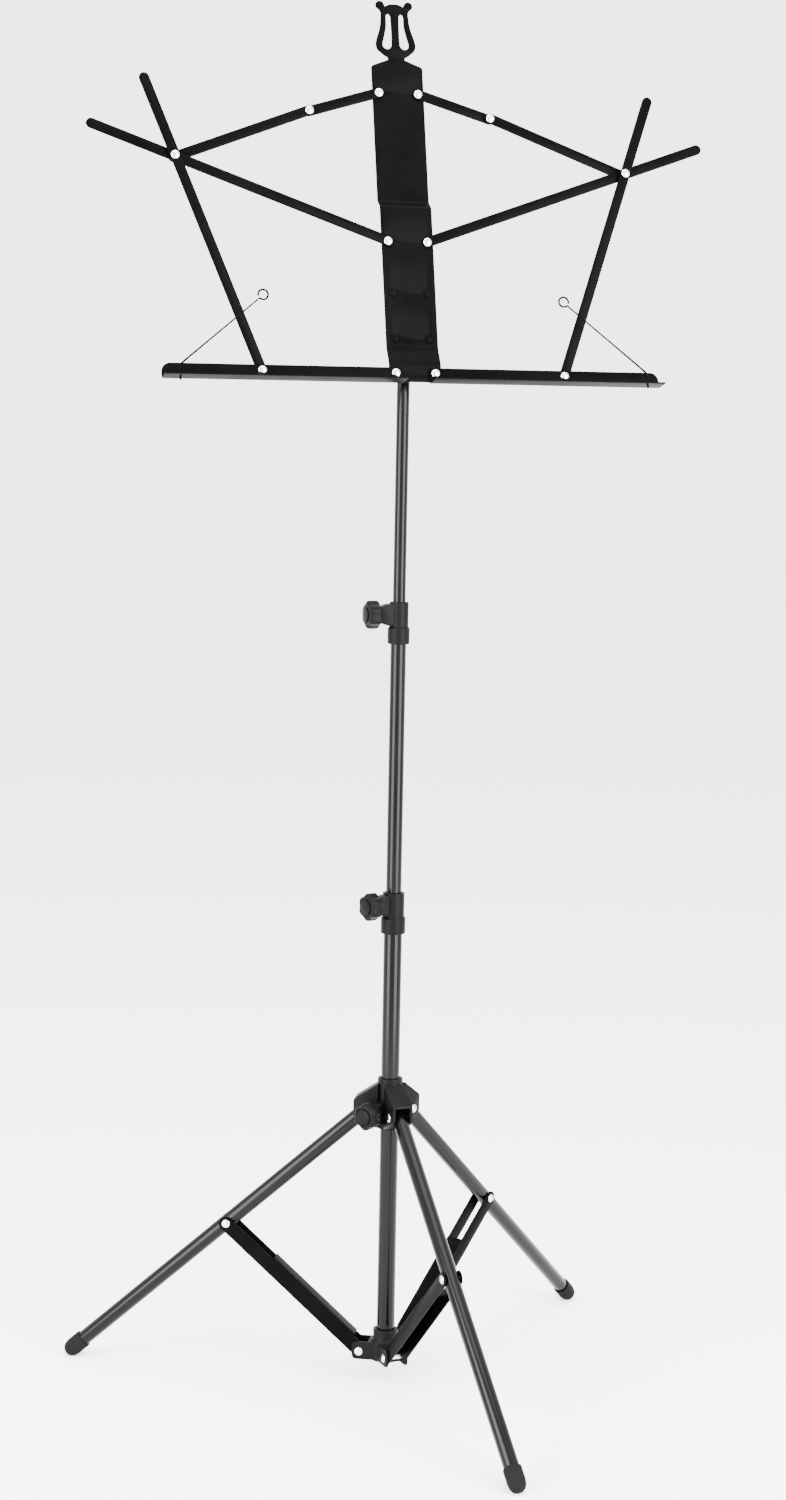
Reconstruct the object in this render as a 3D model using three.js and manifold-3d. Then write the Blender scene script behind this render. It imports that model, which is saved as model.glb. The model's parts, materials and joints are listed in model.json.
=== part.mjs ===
// Folding music stand: a three-legged mast of telescoping tubes that carries a folding sheet-music desk.
// Millimetres, +Z up. The desk faces -Y, with its ledge along X, and the mast stands upright.
// The group is moved at the end so that the origin lies on the floor under the middle of the bounding box.
import * as THREE from "three";
import { mergeVertices } from "three/addons/utils/BufferGeometryUtils.js";
import Module from "manifold-3d";

const wasm = await Module();
wasm.setup();

// ---------------------------------------------------------------- driving dimensions
const GAP = 0.3; // between pieces that touch or turn on each other
const SLACK = 0.5; // radial play between telescoping tubes
const WALL = 1; // tube wall

// mast
const OUTER_R = 9.5;
const MID_R = OUTER_R - WALL - SLACK;
const UPPER_R = MID_R - WALL - SLACK;
const OUTER_TOP = 490;
const MID_BOTTOM = 285;
const MID_TOP = 791;
const UPPER_BOTTOM = 560;
const PIVOT_Z = 1104; // tilt axis of the desk

// tube clamps
const CLAMP_SLEEVE_H = 17;
const CLAMP_BODY_H = 26;
const CLAMP_WALL = 3;
const CLAMP_GRIP = 14; // length of tube inside the sleeve
const BOSS_H = 22;
const BOSS_W = 12;
const LOWER_KNOB_AZIMUTH = 201;
const UPPER_KNOB_AZIMUTH = 184;
const CLAMP_KNOB_AT = 22; // mast axis to the inner face of the knob

// knobs
const KNOB_R = 14.5;
const KNOB_THICK = 14;
const KNOB_LOBES = 6;
const KNOB_FLUTE = 1.6;
const SCREW_R = 3;
const HUB_CAP_R = 8;

// tripod
const LEG_COUNT = 3;
const FIRST_LEG_AZIMUTH = 36;
const LEG_R = 8;
const FOOT_REACH = 339; // mast axis to the centre of a foot
const PIN_CLEAR = 9; // outer tube to the side of a leg at its pin
const PIN_REACH = OUTER_R + PIN_CLEAR + LEG_R; // mast axis to the leg pins and to the brace pins
const LEG_PIN_Z = 286.4;
const BRACE_PIN_Z = 28.7;
const LEG_OVERRUN = 8; // leg tube past its top pin
const FOOT_WALL = 1;
const FOOT_FLAT = 1; // how much of the boot's round end is cut off by the floor
const FOOT_R = LEG_R + FOOT_WALL;
const FOOT_Z = FOOT_R - FOOT_FLAT;
const FOOT_GRIP = 17;
const BRACE_SHEET = 1.2;
const BRACE_WALL_H = 13;
const BRACE_END_R = 7.5;
const BRACE_WEB_FROM = 15; // start of the web, from the hub pin
const BRACE_WEB_SHARE = 0.68; // the rest of the brace is an open fork

// tripod collar and hub
const COLLAR_BOTTOM = 269;
const COLLAR_TOP = 323;
const COLLAR_WALL = 3.2;
const COLLAR_CHEEK = 3;
const COLLAR_LUG_REACH = PIN_REACH + 10.5;
const COLLAR_KNOB_AT = 30;
const COLLAR_KNOB_Z = 288;
const HUB_BOTTOM = 19;
const HUB_TOP = 52;
const HUB_WALL = 3.2;
const HUB_CORE_R = OUTER_R + GAP + HUB_WALL;
const HUB_CHEEK = 2.6;
const HUB_LUG_REACH = PIN_REACH + 7.5;
const HUB_LUG_TOP = 39;

// desk, in its own frame: X across, Y up the plate, Z towards the reader
const DESK_TILT = 13.6;
const SHEET = 1.5;
const STRAP_W = 10.4;
const PLATE_HALF_W = 27;
const PIVOT_U = 20.5; // half spacing of the plate's rivets
const PIN_V = 99; // height of the lower bars' pivots
const KITE_SHORT = 136.5; // ledge pivot to lower-bar pivot, and ledge pivot to outer bar
const KITE_LONG = 229; // lower-bar pivot to crossing, and outer-bar pivot to crossing
const LOWER_BAR = 321; // lower-bar pivot to its tip
const OUTER_BAR = 316; // outer-bar pivot to its tip
const STAY_V = 255; // height of the stays' pivots
const STAY_KINK = 3.6; // how far the elbow stands above the straight line
const LEDGE_V = PIN_V - KITE_SHORT; // height of the ledge's rivets
const PLATE_BOTTOM = LEDGE_V - 8.5;
const LOW_JOGGLE = [LEDGE_V + 7.5, LEDGE_V + 29.5];
const HIGH_JOGGLE = [134, 144];
const SHOULDER_V = 284;
const FINIAL_TOP = 352;
const LEDGE_END = 258;
const LEDGE_INNER = 14;
const LEDGE_TOP = 5.6; // flange above its rivets
const LEDGE_DROP = 10.5; // rivets to the shelf
const LEDGE_DEPTH = 22.6;
const RETAINER_U = 241.5;
const RETAINER_AHEAD = 12; // from the flange to the retainer's stub
const RETAINER_STAGGER = 3; // the left one stands nearer the flange, so that the folded wires pass
const RETAINER_R = 1;
const RETAINER_RISE = 12;
const RETAINER_RUN = 86;
const RETAINER_CLIMB = 72;
const RETAINER_EYE = 5;

// tilt joint
const TILT_V = LOW_JOGGLE[1] + 32; // height of the tilt axis on the plate
const PLATE_AHEAD = 23.2; // tilt axis to the plate's middle stretch
const BRACKET_RIVET_U = 17.5;
const BRACKET_RIVET_V = [TILT_V - 24, TILT_V + 23];
const BRACKET_HALF_W = 23;
const BRACKET_EDGE = 7;
const EAR_R = 8;
const TONGUE_HALF_W = 4;
const BOLT_HEAD_R = 5;
const BOLT_HEAD_H = 3.5;
const NUT_R = 5.5;
const NUT_H = 7;
const WING_REACH = 5; // nut barrel to the middle of a wing's tip
const WING_TIP_R = 4;
const WING_HALF_T = 1.2;
const HEAD_PLUG_DROP = 22; // depth of the head's plug inside the upper tube
const HEAD_BELOW_AXIS = 14; // tilt axis to the top of the upper tube

// rivets
const RIVET_R = 2;
const RIVET_HEAD_R = 4.3;
const RIVET_HEAD_H = 1.7;
const TAIL_R = 3.6;
const TAIL_H = 0.8;
const HOLE_R = RIVET_R + GAP;

const SEGMENTS = 20;
const FINE = 24;
const SMALL = 8; // pins, holes and wire
const FOOT_SEGMENTS = 16;
const DEG = Math.PI / 180;

// ---------------------------------------------------------------- finishes
const finish = (color, roughness, metalness) => () =>
  new THREE.MeshStandardMaterial({ color, roughness, metalness });
const blackPaint = finish(0x0b0b0c, 0.35, 0.3);
const glossPaint = finish(0x08080a, 0.2, 0.4);
const blackPlastic = finish(0x17181b, 0.55, 0);
const rubber = finish(0x101012, 0.8, 0);
const nickel = finish(0xc9ccd2, 0.2, 1);

// ---------------------------------------------------------------- solids
const toSolid = (geometry) => {
  const plain = geometry.index ? geometry.toNonIndexed() : geometry.clone();
  plain.deleteAttribute("normal");
  plain.deleteAttribute("uv");
  const merged = mergeVertices(plain, 1e-4);
  return new wasm.Manifold(
    new wasm.Mesh({
      numProp: 3,
      vertProperties: merged.attributes.position.array,
      triVerts: new Uint32Array(merged.index.array),
    }),
  );
};

const toGeometry = (solid) => {
  const mesh = solid.getMesh();
  return new THREE.BufferGeometry()
    .setAttribute("position", new THREE.BufferAttribute(new Float32Array(mesh.vertProperties), 3))
    .setIndex(new THREE.BufferAttribute(new Uint32Array(mesh.triVerts), 1));
};

const join = (...geometries) => toGeometry(geometries.map(toSolid).reduce((a, b) => a.add(b)));

const cut = (body, ...tools) =>
  toGeometry(tools.map(toSolid).reduce((a, b) => a.subtract(b), toSolid(body)));

const overlap = (a, b) => toGeometry(toSolid(a).intersect(toSolid(b)));

// ---------------------------------------------------------------- shapes
const outline = (points) => new THREE.Shape(points.map(([x, y]) => new THREE.Vector2(x, y)));

// A profile of [radius, height] points, turned about Z.
const turned = (profile, segments = SEGMENTS) =>
  new THREE.LatheGeometry(profile.map(([r, z]) => new THREE.Vector2(r, z)), segments).rotateX(Math.PI / 2);

const rod = (radius, from, to, segments = SEGMENTS) =>
  turned([[0, from], [radius, from], [radius, to], [0, to]], segments);

const pipe = (outer, inner, from, to, segments = SEGMENTS) =>
  turned([[inner, from], [outer, from], [outer, to], [inner, to], [inner, from]], segments);

// A rod along Y, through the point (x, z).
const crossRod = (radius, halfLength, x, z, segments = SMALL) =>
  rod(radius, -halfLength, halfLength, segments).rotateX(Math.PI / 2).translate(x, 0, z);

const slab = (shape, from, to, curveSegments = 5) => {
  const options = { depth: to - from, bevelEnabled: false, curveSegments };
  return new THREE.ExtrudeGeometry(shape, options).translate(0, 0, from);
};

// A side outline of [z, y] points, drawn across X between two places.
const acrossX = (points, from, to) =>
  slab(outline(points.map(([z, y]) => [-z, y])), from, to).rotateY(Math.PI / 2);

// An outline of [reach, z] points in the XZ plane, with its thickness along Y.
const upright = (points, halfWidth) =>
  slab(outline(points), -halfWidth, halfWidth).rotateX(Math.PI / 2);

const block = (low, high) =>
  new THREE.BoxGeometry(high[0] - low[0], high[1] - low[1], high[2] - low[2]).translate(
    (low[0] + high[0]) / 2,
    (low[1] + high[1]) / 2,
    (low[2] + high[2]) / 2,
  );

const circleHole = (x, y, radius) => new THREE.Path().absarc(x, y, radius, 0, 2 * Math.PI, true);

// A flat bar with round ends, from the origin along X, with holes at the given distances.
const strapShape = (length, width, holes) => {
  const r = width / 2;
  const shape = new THREE.Shape();
  shape.absarc(0, 0, r, Math.PI / 2, 1.5 * Math.PI, false);
  shape.absarc(length - r, 0, r, -Math.PI / 2, Math.PI / 2, false);
  holes.forEach((x) => shape.holes.push(circleHole(x, 0, HOLE_R)));
  return shape;
};

const domeProfile = (radius, base, height, steps = 2) =>
  Array.from({ length: steps + 1 }, (_, i) => {
    const a = (i / steps) * (Math.PI / 2);
    return [i === steps ? 0 : radius * Math.cos(a), base + height * Math.sin(a)];
  });

const collarSteps = ([low, high]) => [[RIVET_R, low], [TAIL_R, low], [TAIL_R, high], [RIVET_R, high]];

// A rivet along Z: tail under z = from, domed head over z = to, and collars that fill gaps between straps.
const rivet = (from, to, { tail = TAIL_H, collars = [] } = {}) => {
  const tailEnd = [[0, from - tail], [TAIL_R, from - tail], [TAIL_R, from]];
  const closedEnd = tail > 0 ? tailEnd : [[0, from]];
  const steps = collars.flatMap(collarSteps);
  const head = domeProfile(RIVET_HEAD_R, to, RIVET_HEAD_H);
  return turned([...closedEnd, [RIVET_R, from], ...steps, [RIVET_R, to], ...head], SMALL);
};

// A rivet along Y with a dome on both ends, through the point (x, z).
const throughRivet = (halfGrip, x, z) => {
  const high = domeProfile(RIVET_HEAD_R, halfGrip, RIVET_HEAD_H);
  const low = high.map(([r, h]) => [r, -h]).reverse();
  const shank = [[RIVET_R, -halfGrip], [RIVET_R, halfGrip]];
  return turned([...low, ...shank, ...high], SMALL).rotateX(Math.PI / 2).translate(x, 0, z);
};

// ---------------------------------------------------------------- scene helpers
const stand = new THREE.Group();

const piece = (parent, name, geometry, material) => {
  const mesh = new THREE.Mesh(geometry, material());
  mesh.name = name;
  parent.add(mesh);
  return mesh;
};

const turnedGroup = (parent, azimuth) => {
  const group = new THREE.Group();
  group.rotation.z = azimuth * DEG;
  parent.add(group);
  return group;
};

// ---------------------------------------------------------------- mast
const outerBottom = HUB_BOTTOM + 5;
const lowerClampBottom = OUTER_TOP - CLAMP_GRIP;
const upperClampBottom = MID_TOP - CLAMP_GRIP;
const headCollarZ = PIVOT_Z - HEAD_BELOW_AXIS;

// The sleeve grips the tube below, and the narrower body above it guides the thinner tube.
const clampBody = (tubeR, innerR, bottom, knobAzimuth) => {
  const step = bottom + CLAMP_SLEEVE_H;
  const top = step + CLAMP_BODY_H;
  const sleeveR = tubeR + GAP + CLAMP_WALL;
  const bodyR = innerR + GAP + CLAMP_WALL;
  const bore = innerR + GAP;
  const seat = bottom + CLAMP_GRIP + GAP;
  const shell = turned(
    [
      [tubeR + GAP, bottom],
      [sleeveR - 0.8, bottom],
      [sleeveR, bottom + 0.8],
      [sleeveR, step - 1],
      [bodyR, step + 1],
      [bodyR, top - 0.8],
      [bodyR - 0.8, top],
      [bore, top],
      [bore, seat],
      [tubeR + GAP, seat],
      [tubeR + GAP, bottom],
    ],
    FINE,
  );
  const middle = step + CLAMP_BODY_H / 2;
  const boss = slab(bossShape(CLAMP_KNOB_AT - GAP), -BOSS_W / 2, BOSS_W / 2)
    .rotateX(Math.PI / 2)
    .translate(0, 0, middle)
    .rotateZ(knobAzimuth * DEG);
  const clearBore = rod(bore, step + 0.5, top + 1, FINE);
  const screwHole = rod(SCREW_R + GAP, bore - 0.5, CLAMP_KNOB_AT + 1, SMALL)
    .rotateY(Math.PI / 2)
    .translate(0, 0, middle)
    .rotateZ(knobAzimuth * DEG);
  return cut(join(shell, boss), clearBore, screwHole);
};

// The boss that carries a clamp screw, seen from its side: it narrows towards the knob.
const bossShape = (reach) =>
  outline([
    [0, -BOSS_H / 2],
    [reach - 8, -BOSS_H / 2],
    [reach, -BOSS_H / 2 + 3],
    [reach, BOSS_H / 2 - 3],
    [reach - 8, BOSS_H / 2],
    [0, BOSS_H / 2],
  ]);

// A lobed knob and its screw, pointing along X away from the mast. Its inner face is at the given reach.
const knob = (tipReach, innerFace) => {
  const rim = new THREE.Shape(
    Array.from({ length: 36 }, (_, i) => {
      const a = (i / 36) * 2 * Math.PI;
      const r = KNOB_R - KNOB_FLUTE * (0.5 - 0.5 * Math.cos(KNOB_LOBES * a));
      return new THREE.Vector2(r * Math.cos(a), r * Math.sin(a));
    }),
  );
  const grip = new THREE.ExtrudeGeometry(rim, {
    depth: KNOB_THICK - 3,
    bevelThickness: 1.5,
    bevelSize: 1.5,
    bevelOffset: -1.5,
    bevelSegments: 1,
  }).translate(0, 0, innerFace + 1.5);
  const cap = turned(
    [
      [0, innerFace + KNOB_THICK - 2],
      [HUB_CAP_R, innerFace + KNOB_THICK - 2],
      [HUB_CAP_R, innerFace + KNOB_THICK + 0.6],
      [HUB_CAP_R - 1.4, innerFace + KNOB_THICK + 1.6],
      [0, innerFace + KNOB_THICK + 1.6],
    ],
    12,
  );
  const screw = rod(SCREW_R, tipReach, innerFace + 3, SMALL);
  return join(grip, cap, screw).rotateY(Math.PI / 2);
};

const placeKnob = (name, tubeR, innerFace, z, azimuth) => {
  const mesh = piece(turnedGroup(stand, azimuth), name, knob(tubeR + GAP, innerFace), blackPlastic);
  mesh.position.z = z;
};

const buildMast = () => {
  piece(stand, "outer_tube", pipe(OUTER_R, OUTER_R - WALL, outerBottom, OUTER_TOP), glossPaint);
  piece(stand, "mid_tube", pipe(MID_R, MID_R - WALL, MID_BOTTOM, MID_TOP), glossPaint);
  piece(stand, "upper_tube", pipe(UPPER_R, UPPER_R - WALL, UPPER_BOTTOM, headCollarZ - GAP), glossPaint);
  piece(stand, "lower_clamp", clampBody(OUTER_R, MID_R, lowerClampBottom, LOWER_KNOB_AZIMUTH), blackPlastic);
  piece(stand, "upper_clamp", clampBody(MID_R, UPPER_R, upperClampBottom, UPPER_KNOB_AZIMUTH), blackPlastic);
  const knobLift = CLAMP_SLEEVE_H + CLAMP_BODY_H / 2;
  placeKnob("lower_clamp_knob", MID_R, CLAMP_KNOB_AT, lowerClampBottom + knobLift, LOWER_KNOB_AZIMUTH);
  placeKnob("upper_clamp_knob", UPPER_R, CLAMP_KNOB_AT, upperClampBottom + knobLift, UPPER_KNOB_AZIMUTH);
};

// ---------------------------------------------------------------- tripod
const legLine = new THREE.Vector2(FOOT_REACH - PIN_REACH, LEG_PIN_Z - FOOT_Z);
const legLean = Math.atan2(legLine.x, legLine.y); // from the vertical
const legLength = legLine.length();
const braceRivetZ = (LEG_PIN_Z + BRACE_PIN_Z) / 2;
const braceLength = (LEG_PIN_Z - braceRivetZ) / Math.cos(legLean);
const braceRivetReach = PIN_REACH + braceLength * Math.sin(legLean);
const legGap = LEG_R + GAP;
const channelHalfW = legGap + BRACE_SHEET;
const collarCheekFace = legGap + COLLAR_CHEEK;
const hubSlotHalfW = channelHalfW + GAP;
const hubCheekFace = hubSlotHalfW + HUB_CHEEK;
const tubeBore = OUTER_R + GAP;

// Leg tube along Z, from its foot end at z = 0 up past its top pin.
const legTube = () =>
  cut(
    pipe(LEG_R, LEG_R - WALL, 0, legLength + LEG_OVERRUN),
    crossRod(HOLE_R, LEG_R + 1, 0, legLength),
    crossRod(HOLE_R, LEG_R + 1, 0, legLength - braceLength),
  );

// Rubber foot round the leg's end, with a small flat where it meets the floor.
const foot = () => {
  const ball = domeProfile(FOOT_R, 0, FOOT_R, 4).map(([r, h]) => [r, -h]);
  const cuffR = FOOT_R + 0.5;
  const cuff = [[cuffR, 1.5], [cuffR, FOOT_GRIP], [legGap, FOOT_GRIP], [legGap, -GAP], [0, -GAP]];
  const boot = turned([...ball.reverse(), ...cuff], FOOT_SEGMENTS);
  boot.rotateY(-legLean).translate(FOOT_REACH, 0, FOOT_Z);
  const floor = block([FOOT_REACH - 30, -30, -30], [FOOT_REACH + 30, 30, 0]);
  return cut(boot, floor);
};

// Folded-sheet brace along Z from its hub pin: two walls, joined by a web on the side that faces the mast.
const brace = () => {
  const arc = (z, from) =>
    Array.from({ length: 9 }, (_, i) => {
      const a = from + (i / 8) * Math.PI;
      return [BRACE_END_R * Math.cos(a), z + BRACE_END_R * Math.sin(a)];
    });
  const webOuter = -legGap - BRACE_SHEET;
  const webEnd = braceLength * BRACE_WEB_SHARE;
  const blank = join(
    upright([...arc(braceLength, 0), ...arc(0, Math.PI)], channelHalfW),
    block([webOuter, -channelHalfW, BRACE_WEB_FROM], [webOuter + BRACE_WALL_H, channelHalfW, webEnd]),
  );
  return cut(
    blank,
    block([-legGap, -legGap, -30], [30, legGap, braceLength + 30]),
    crossRod(HOLE_R, channelHalfW + 1, 0, 0),
    crossRod(HOLE_R, channelHalfW + 1, 0, braceLength),
  );
};

const legAzimuths = Array.from({ length: LEG_COUNT }, (_, i) => FIRST_LEG_AZIMUTH + (i * 360) / LEG_COUNT);
const collarKnobAzimuth = FIRST_LEG_AZIMUTH + 180;
const roundMast = (geometry, azimuth) => geometry.rotateZ(azimuth * DEG);

// Sliding collar: a sleeve with a hooded pair of cheeks for each leg, and a boss for the clamp knob.
const collar = () => {
  const neckR = tubeBore + COLLAR_WALL;
  const hoodInner = COLLAR_TOP - 5;
  const hoodOuter = LEG_PIN_Z + 14;
  const lug = [
    [tubeBore + 1, COLLAR_BOTTOM + 1],
    [COLLAR_LUG_REACH - 9, LEG_PIN_Z - 11],
    [COLLAR_LUG_REACH, LEG_PIN_Z - 4],
    [COLLAR_LUG_REACH, hoodOuter - 2],
    [COLLAR_LUG_REACH - 2, hoodOuter],
    [tubeBore + 1, hoodInner],
  ];
  const slot = [
    [neckR + 0.4, COLLAR_BOTTOM - 10],
    [COLLAR_LUG_REACH + 1, COLLAR_BOTTOM - 10],
    [COLLAR_LUG_REACH + 1, hoodOuter - 4.6],
    [neckR + 0.4, hoodInner - 4.2],
  ];
  const sleeve = turned(
    [
      [tubeBore, COLLAR_BOTTOM],
      [neckR, COLLAR_BOTTOM],
      [neckR, COLLAR_TOP - 1.5],
      [neckR - 1.5, COLLAR_TOP],
      [tubeBore, COLLAR_TOP],
      [tubeBore, COLLAR_BOTTOM],
    ],
    FINE,
  );
  const lugs = legAzimuths.map((azimuth) => roundMast(upright(lug, collarCheekFace), azimuth));
  const slots = legAzimuths.map((azimuth) => roundMast(upright(slot, legGap), azimuth));
  const pins = legAzimuths.map((azimuth) =>
    roundMast(crossRod(HOLE_R, collarCheekFace + 1, PIN_REACH, LEG_PIN_Z), azimuth),
  );
  const boss = roundMast(
    slab(bossShape(COLLAR_KNOB_AT - GAP), -BOSS_W / 2, BOSS_W / 2)
      .rotateX(Math.PI / 2)
      .translate(0, 0, COLLAR_KNOB_Z),
    collarKnobAzimuth,
  );
  const bore = rod(tubeBore, COLLAR_BOTTOM - 1, COLLAR_TOP + 1, FINE);
  const screwHole = roundMast(
    rod(SCREW_R + GAP, tubeBore - 0.5, COLLAR_KNOB_AT + 1, SMALL)
      .rotateY(Math.PI / 2)
      .translate(0, 0, COLLAR_KNOB_Z),
    collarKnobAzimuth,
  );
  return cut(join(cut(join(sleeve, ...lugs), ...slots), boss), bore, ...pins, screwHole);
};

// Bottom hub: a cup for the outer tube's end, with a pair of cheeks for each brace.
const hub = () => {
  const lug = [
    [HUB_CORE_R - 5, HUB_BOTTOM + 1],
    [HUB_LUG_REACH - 5, HUB_BOTTOM + 1],
    [HUB_LUG_REACH, HUB_BOTTOM + 6],
    [HUB_LUG_REACH, HUB_LUG_TOP - 5],
    [HUB_LUG_REACH - 5, HUB_LUG_TOP],
    [HUB_CORE_R - 5, HUB_LUG_TOP],
  ];
  const slotFrom = PIN_REACH - BRACE_END_R - 2;
  const core = turned(
    [
      [0, HUB_BOTTOM],
      [HUB_CORE_R + 3, HUB_BOTTOM],
      [HUB_CORE_R + 3, HUB_LUG_TOP],
      [HUB_CORE_R, HUB_LUG_TOP + 3],
      [HUB_CORE_R, HUB_TOP - 1],
      [HUB_CORE_R - 1, HUB_TOP],
      [0, HUB_TOP],
    ],
    FINE,
  );
  const lugs = legAzimuths.map((azimuth) => roundMast(upright(lug, hubCheekFace), azimuth));
  const slots = legAzimuths.map((azimuth) =>
    roundMast(block([slotFrom, -hubSlotHalfW, HUB_BOTTOM - 1], [60, hubSlotHalfW, HUB_TOP + 1]), azimuth),
  );
  const pins = legAzimuths.map((azimuth) =>
    roundMast(crossRod(HOLE_R, hubCheekFace + 1, PIN_REACH, BRACE_PIN_Z), azimuth),
  );
  return cut(join(core, ...lugs), ...slots, ...pins, rod(tubeBore, outerBottom - GAP, HUB_TOP + 1, FINE));
};

const buildLeg = (azimuth, index) => {
  const spoke = turnedGroup(stand, azimuth);
  const number = index + 1;
  const leg = piece(spoke, `leg_${number}`, legTube(), glossPaint);
  leg.position.set(FOOT_REACH, 0, FOOT_Z);
  leg.rotation.y = -legLean;
  const strut = piece(spoke, `brace_${number}`, brace(), blackPaint);
  strut.position.set(PIN_REACH, 0, BRACE_PIN_Z);
  strut.rotation.y = legLean;
  piece(spoke, `foot_${number}`, foot(), rubber);
  piece(spoke, `leg_pin_${number}`, throughRivet(collarCheekFace + GAP, PIN_REACH, LEG_PIN_Z), nickel);
  piece(spoke, `brace_pin_${number}`, throughRivet(hubCheekFace + GAP, PIN_REACH, BRACE_PIN_Z), nickel);
  piece(spoke, `leg_rivet_${number}`, throughRivet(channelHalfW + GAP, braceRivetReach, braceRivetZ), nickel);
};

const buildTripod = () => {
  piece(stand, "bottom_hub", hub(), blackPlastic);
  piece(stand, "leg_collar", collar(), blackPlastic);
  placeKnob("leg_collar_knob", OUTER_R, COLLAR_KNOB_AT, COLLAR_KNOB_Z, collarKnobAzimuth);
  legAzimuths.forEach(buildLeg);
};

// ---------------------------------------------------------------- desk layers, back to front
const stayInnerBack = GAP;
const stayHeadFrom = stayInnerBack + SHEET + GAP;
const stayOuterBack = stayHeadFrom + RIVET_HEAD_H + GAP;
const elbowHeadFrom = stayOuterBack + SHEET + GAP;
const lowerBarBack = elbowHeadFrom + RIVET_HEAD_H + GAP;
const midFront = lowerBarBack - GAP;
const barHeadFrom = lowerBarBack + SHEET + GAP;
const ledgeTailFrom = barHeadFrom + RIVET_HEAD_H + GAP;
const outerBarBack = ledgeTailFrom + TAIL_H;
const flangeBack = outerBarBack + SHEET + GAP;
const lowFront = flangeBack - GAP;
const ledgeHeadFrom = flangeBack + SHEET + GAP;

// ---------------------------------------------------------------- desk linkage, right half
const ledgePin = new THREE.Vector2(PIVOT_U, LEDGE_V);
const barPin = new THREE.Vector2(PIVOT_U, PIN_V);
const outerPin = new THREE.Vector2(PIVOT_U + KITE_SHORT, ledgePin.y);
const kiteHalf = KITE_SHORT / Math.SQRT2;
const kiteRise = Math.sqrt(KITE_LONG ** 2 - kiteHalf ** 2);
const crossing = new THREE.Vector2(1, 1)
  .multiplyScalar((kiteHalf + kiteRise) / Math.SQRT2)
  .add(ledgePin);
const stayPin = new THREE.Vector2(PIVOT_U, STAY_V);
const stayLine = crossing.clone().sub(stayPin);
const foldedGap = PIN_V + KITE_LONG - STAY_V; // stay pivot to crossing when the desk is folded
const elbowAlong = (stayLine.length() - foldedGap) / 2;
const elbow = stayLine
  .clone()
  .setLength(elbowAlong)
  .add(stayPin)
  .add(new THREE.Vector2(-stayLine.y, stayLine.x).setLength(STAY_KINK));

const pivotBack = midFront - PLATE_AHEAD; // tilt axis, behind the plate
const bracketBack = midFront - SHEET - GAP - SHEET;

// The desk's own frame, leaned back about the tilt axis at the top of the mast.
const deskFrame = () => {
  const lean = DESK_TILT * DEG;
  const group = new THREE.Group();
  group.rotation.x = Math.PI / 2 - lean;
  group.position.set(
    0,
    pivotBack * Math.cos(lean) - TILT_V * Math.sin(lean),
    PIVOT_Z - TILT_V * Math.cos(lean) - pivotBack * Math.sin(lean),
  );
  stand.add(group);
  return group;
};

// ---------------------------------------------------------------- centre plate
const pinHoles = () =>
  [barPin, ledgePin, stayPin].flatMap(({ x, y }) => [circleHole(x, y, HOLE_R), circleHole(-x, y, HOLE_R)]);

const bracketHoles = () =>
  BRACKET_RIVET_V.flatMap((v) => [-1, 1].map((side) => circleHole(side * BRACKET_RIVET_U, v, HOLE_R)));

// One half of the lyre's edge, from the shoulder to the middle of the top, on the side given by the sign.
const lyreEdge = (side) => {
  const base = SHOULDER_V;
  const curve = new THREE.SplineCurve(
    [[8.8, 8.6], [14, 12], [19.6, 17], [20.9, 22.5], [19.6, 29], [16.4, 38.5], [14.8, 48], [14.4, 56]].map(
      ([u, v]) => new THREE.Vector2(side * u, base + v),
    ),
  );
  const horn = Array.from({ length: 9 }, (_, i) => {
    const a = (-75 + i * 27) * DEG;
    return new THREE.Vector2(side * (15 + 4.5 * Math.cos(a)), FINIAL_TOP - 4.5 + 4.5 * Math.sin(a));
  });
  const crown = [[9.4, -5.6], [6.5, -3.9], [3.2, -3.1], [0, -2.9]].map(
    ([u, v]) => new THREE.Vector2(side * u, FINIAL_TOP + v),
  );
  const shoulder = [new THREE.Vector2(side * PLATE_HALF_W, base), new THREE.Vector2(side * 8.8, base + 6.6)];
  return [...shoulder, ...curve.getPoints(16), ...horn, ...crown];
};

const lyreSlot = (side) => {
  const base = SHOULDER_V;
  const points = [
    [4.4, 52], [6.6, 54.6], [9, 52], [9.3, 42], [11.6, 31], [13.6, 23.5],
    [12.8, 19.4], [9, 17.6], [5.6, 19.4], [4.2, 24], [4.1, 38],
  ].map(([u, v]) => new THREE.Vector2(side * u, base + v));
  const loop = new THREE.SplineCurve([...points, points[0]]);
  return new THREE.Path(loop.getPoints(26).slice(0, -1));
};

const plateFace = () => {
  const corner = 3;
  const left = lyreEdge(-1);
  const shape = new THREE.Shape([
    new THREE.Vector2(-PLATE_HALF_W + corner, PLATE_BOTTOM),
    new THREE.Vector2(PLATE_HALF_W - corner, PLATE_BOTTOM),
    new THREE.Vector2(PLATE_HALF_W, PLATE_BOTTOM + corner),
    ...lyreEdge(1),
    ...left.reverse().slice(1),
    new THREE.Vector2(-PLATE_HALF_W, PLATE_BOTTOM + corner),
  ]);
  shape.holes.push(...pinHoles(), ...bracketHoles(), lyreSlot(1), lyreSlot(-1));
  return shape;
};

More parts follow.
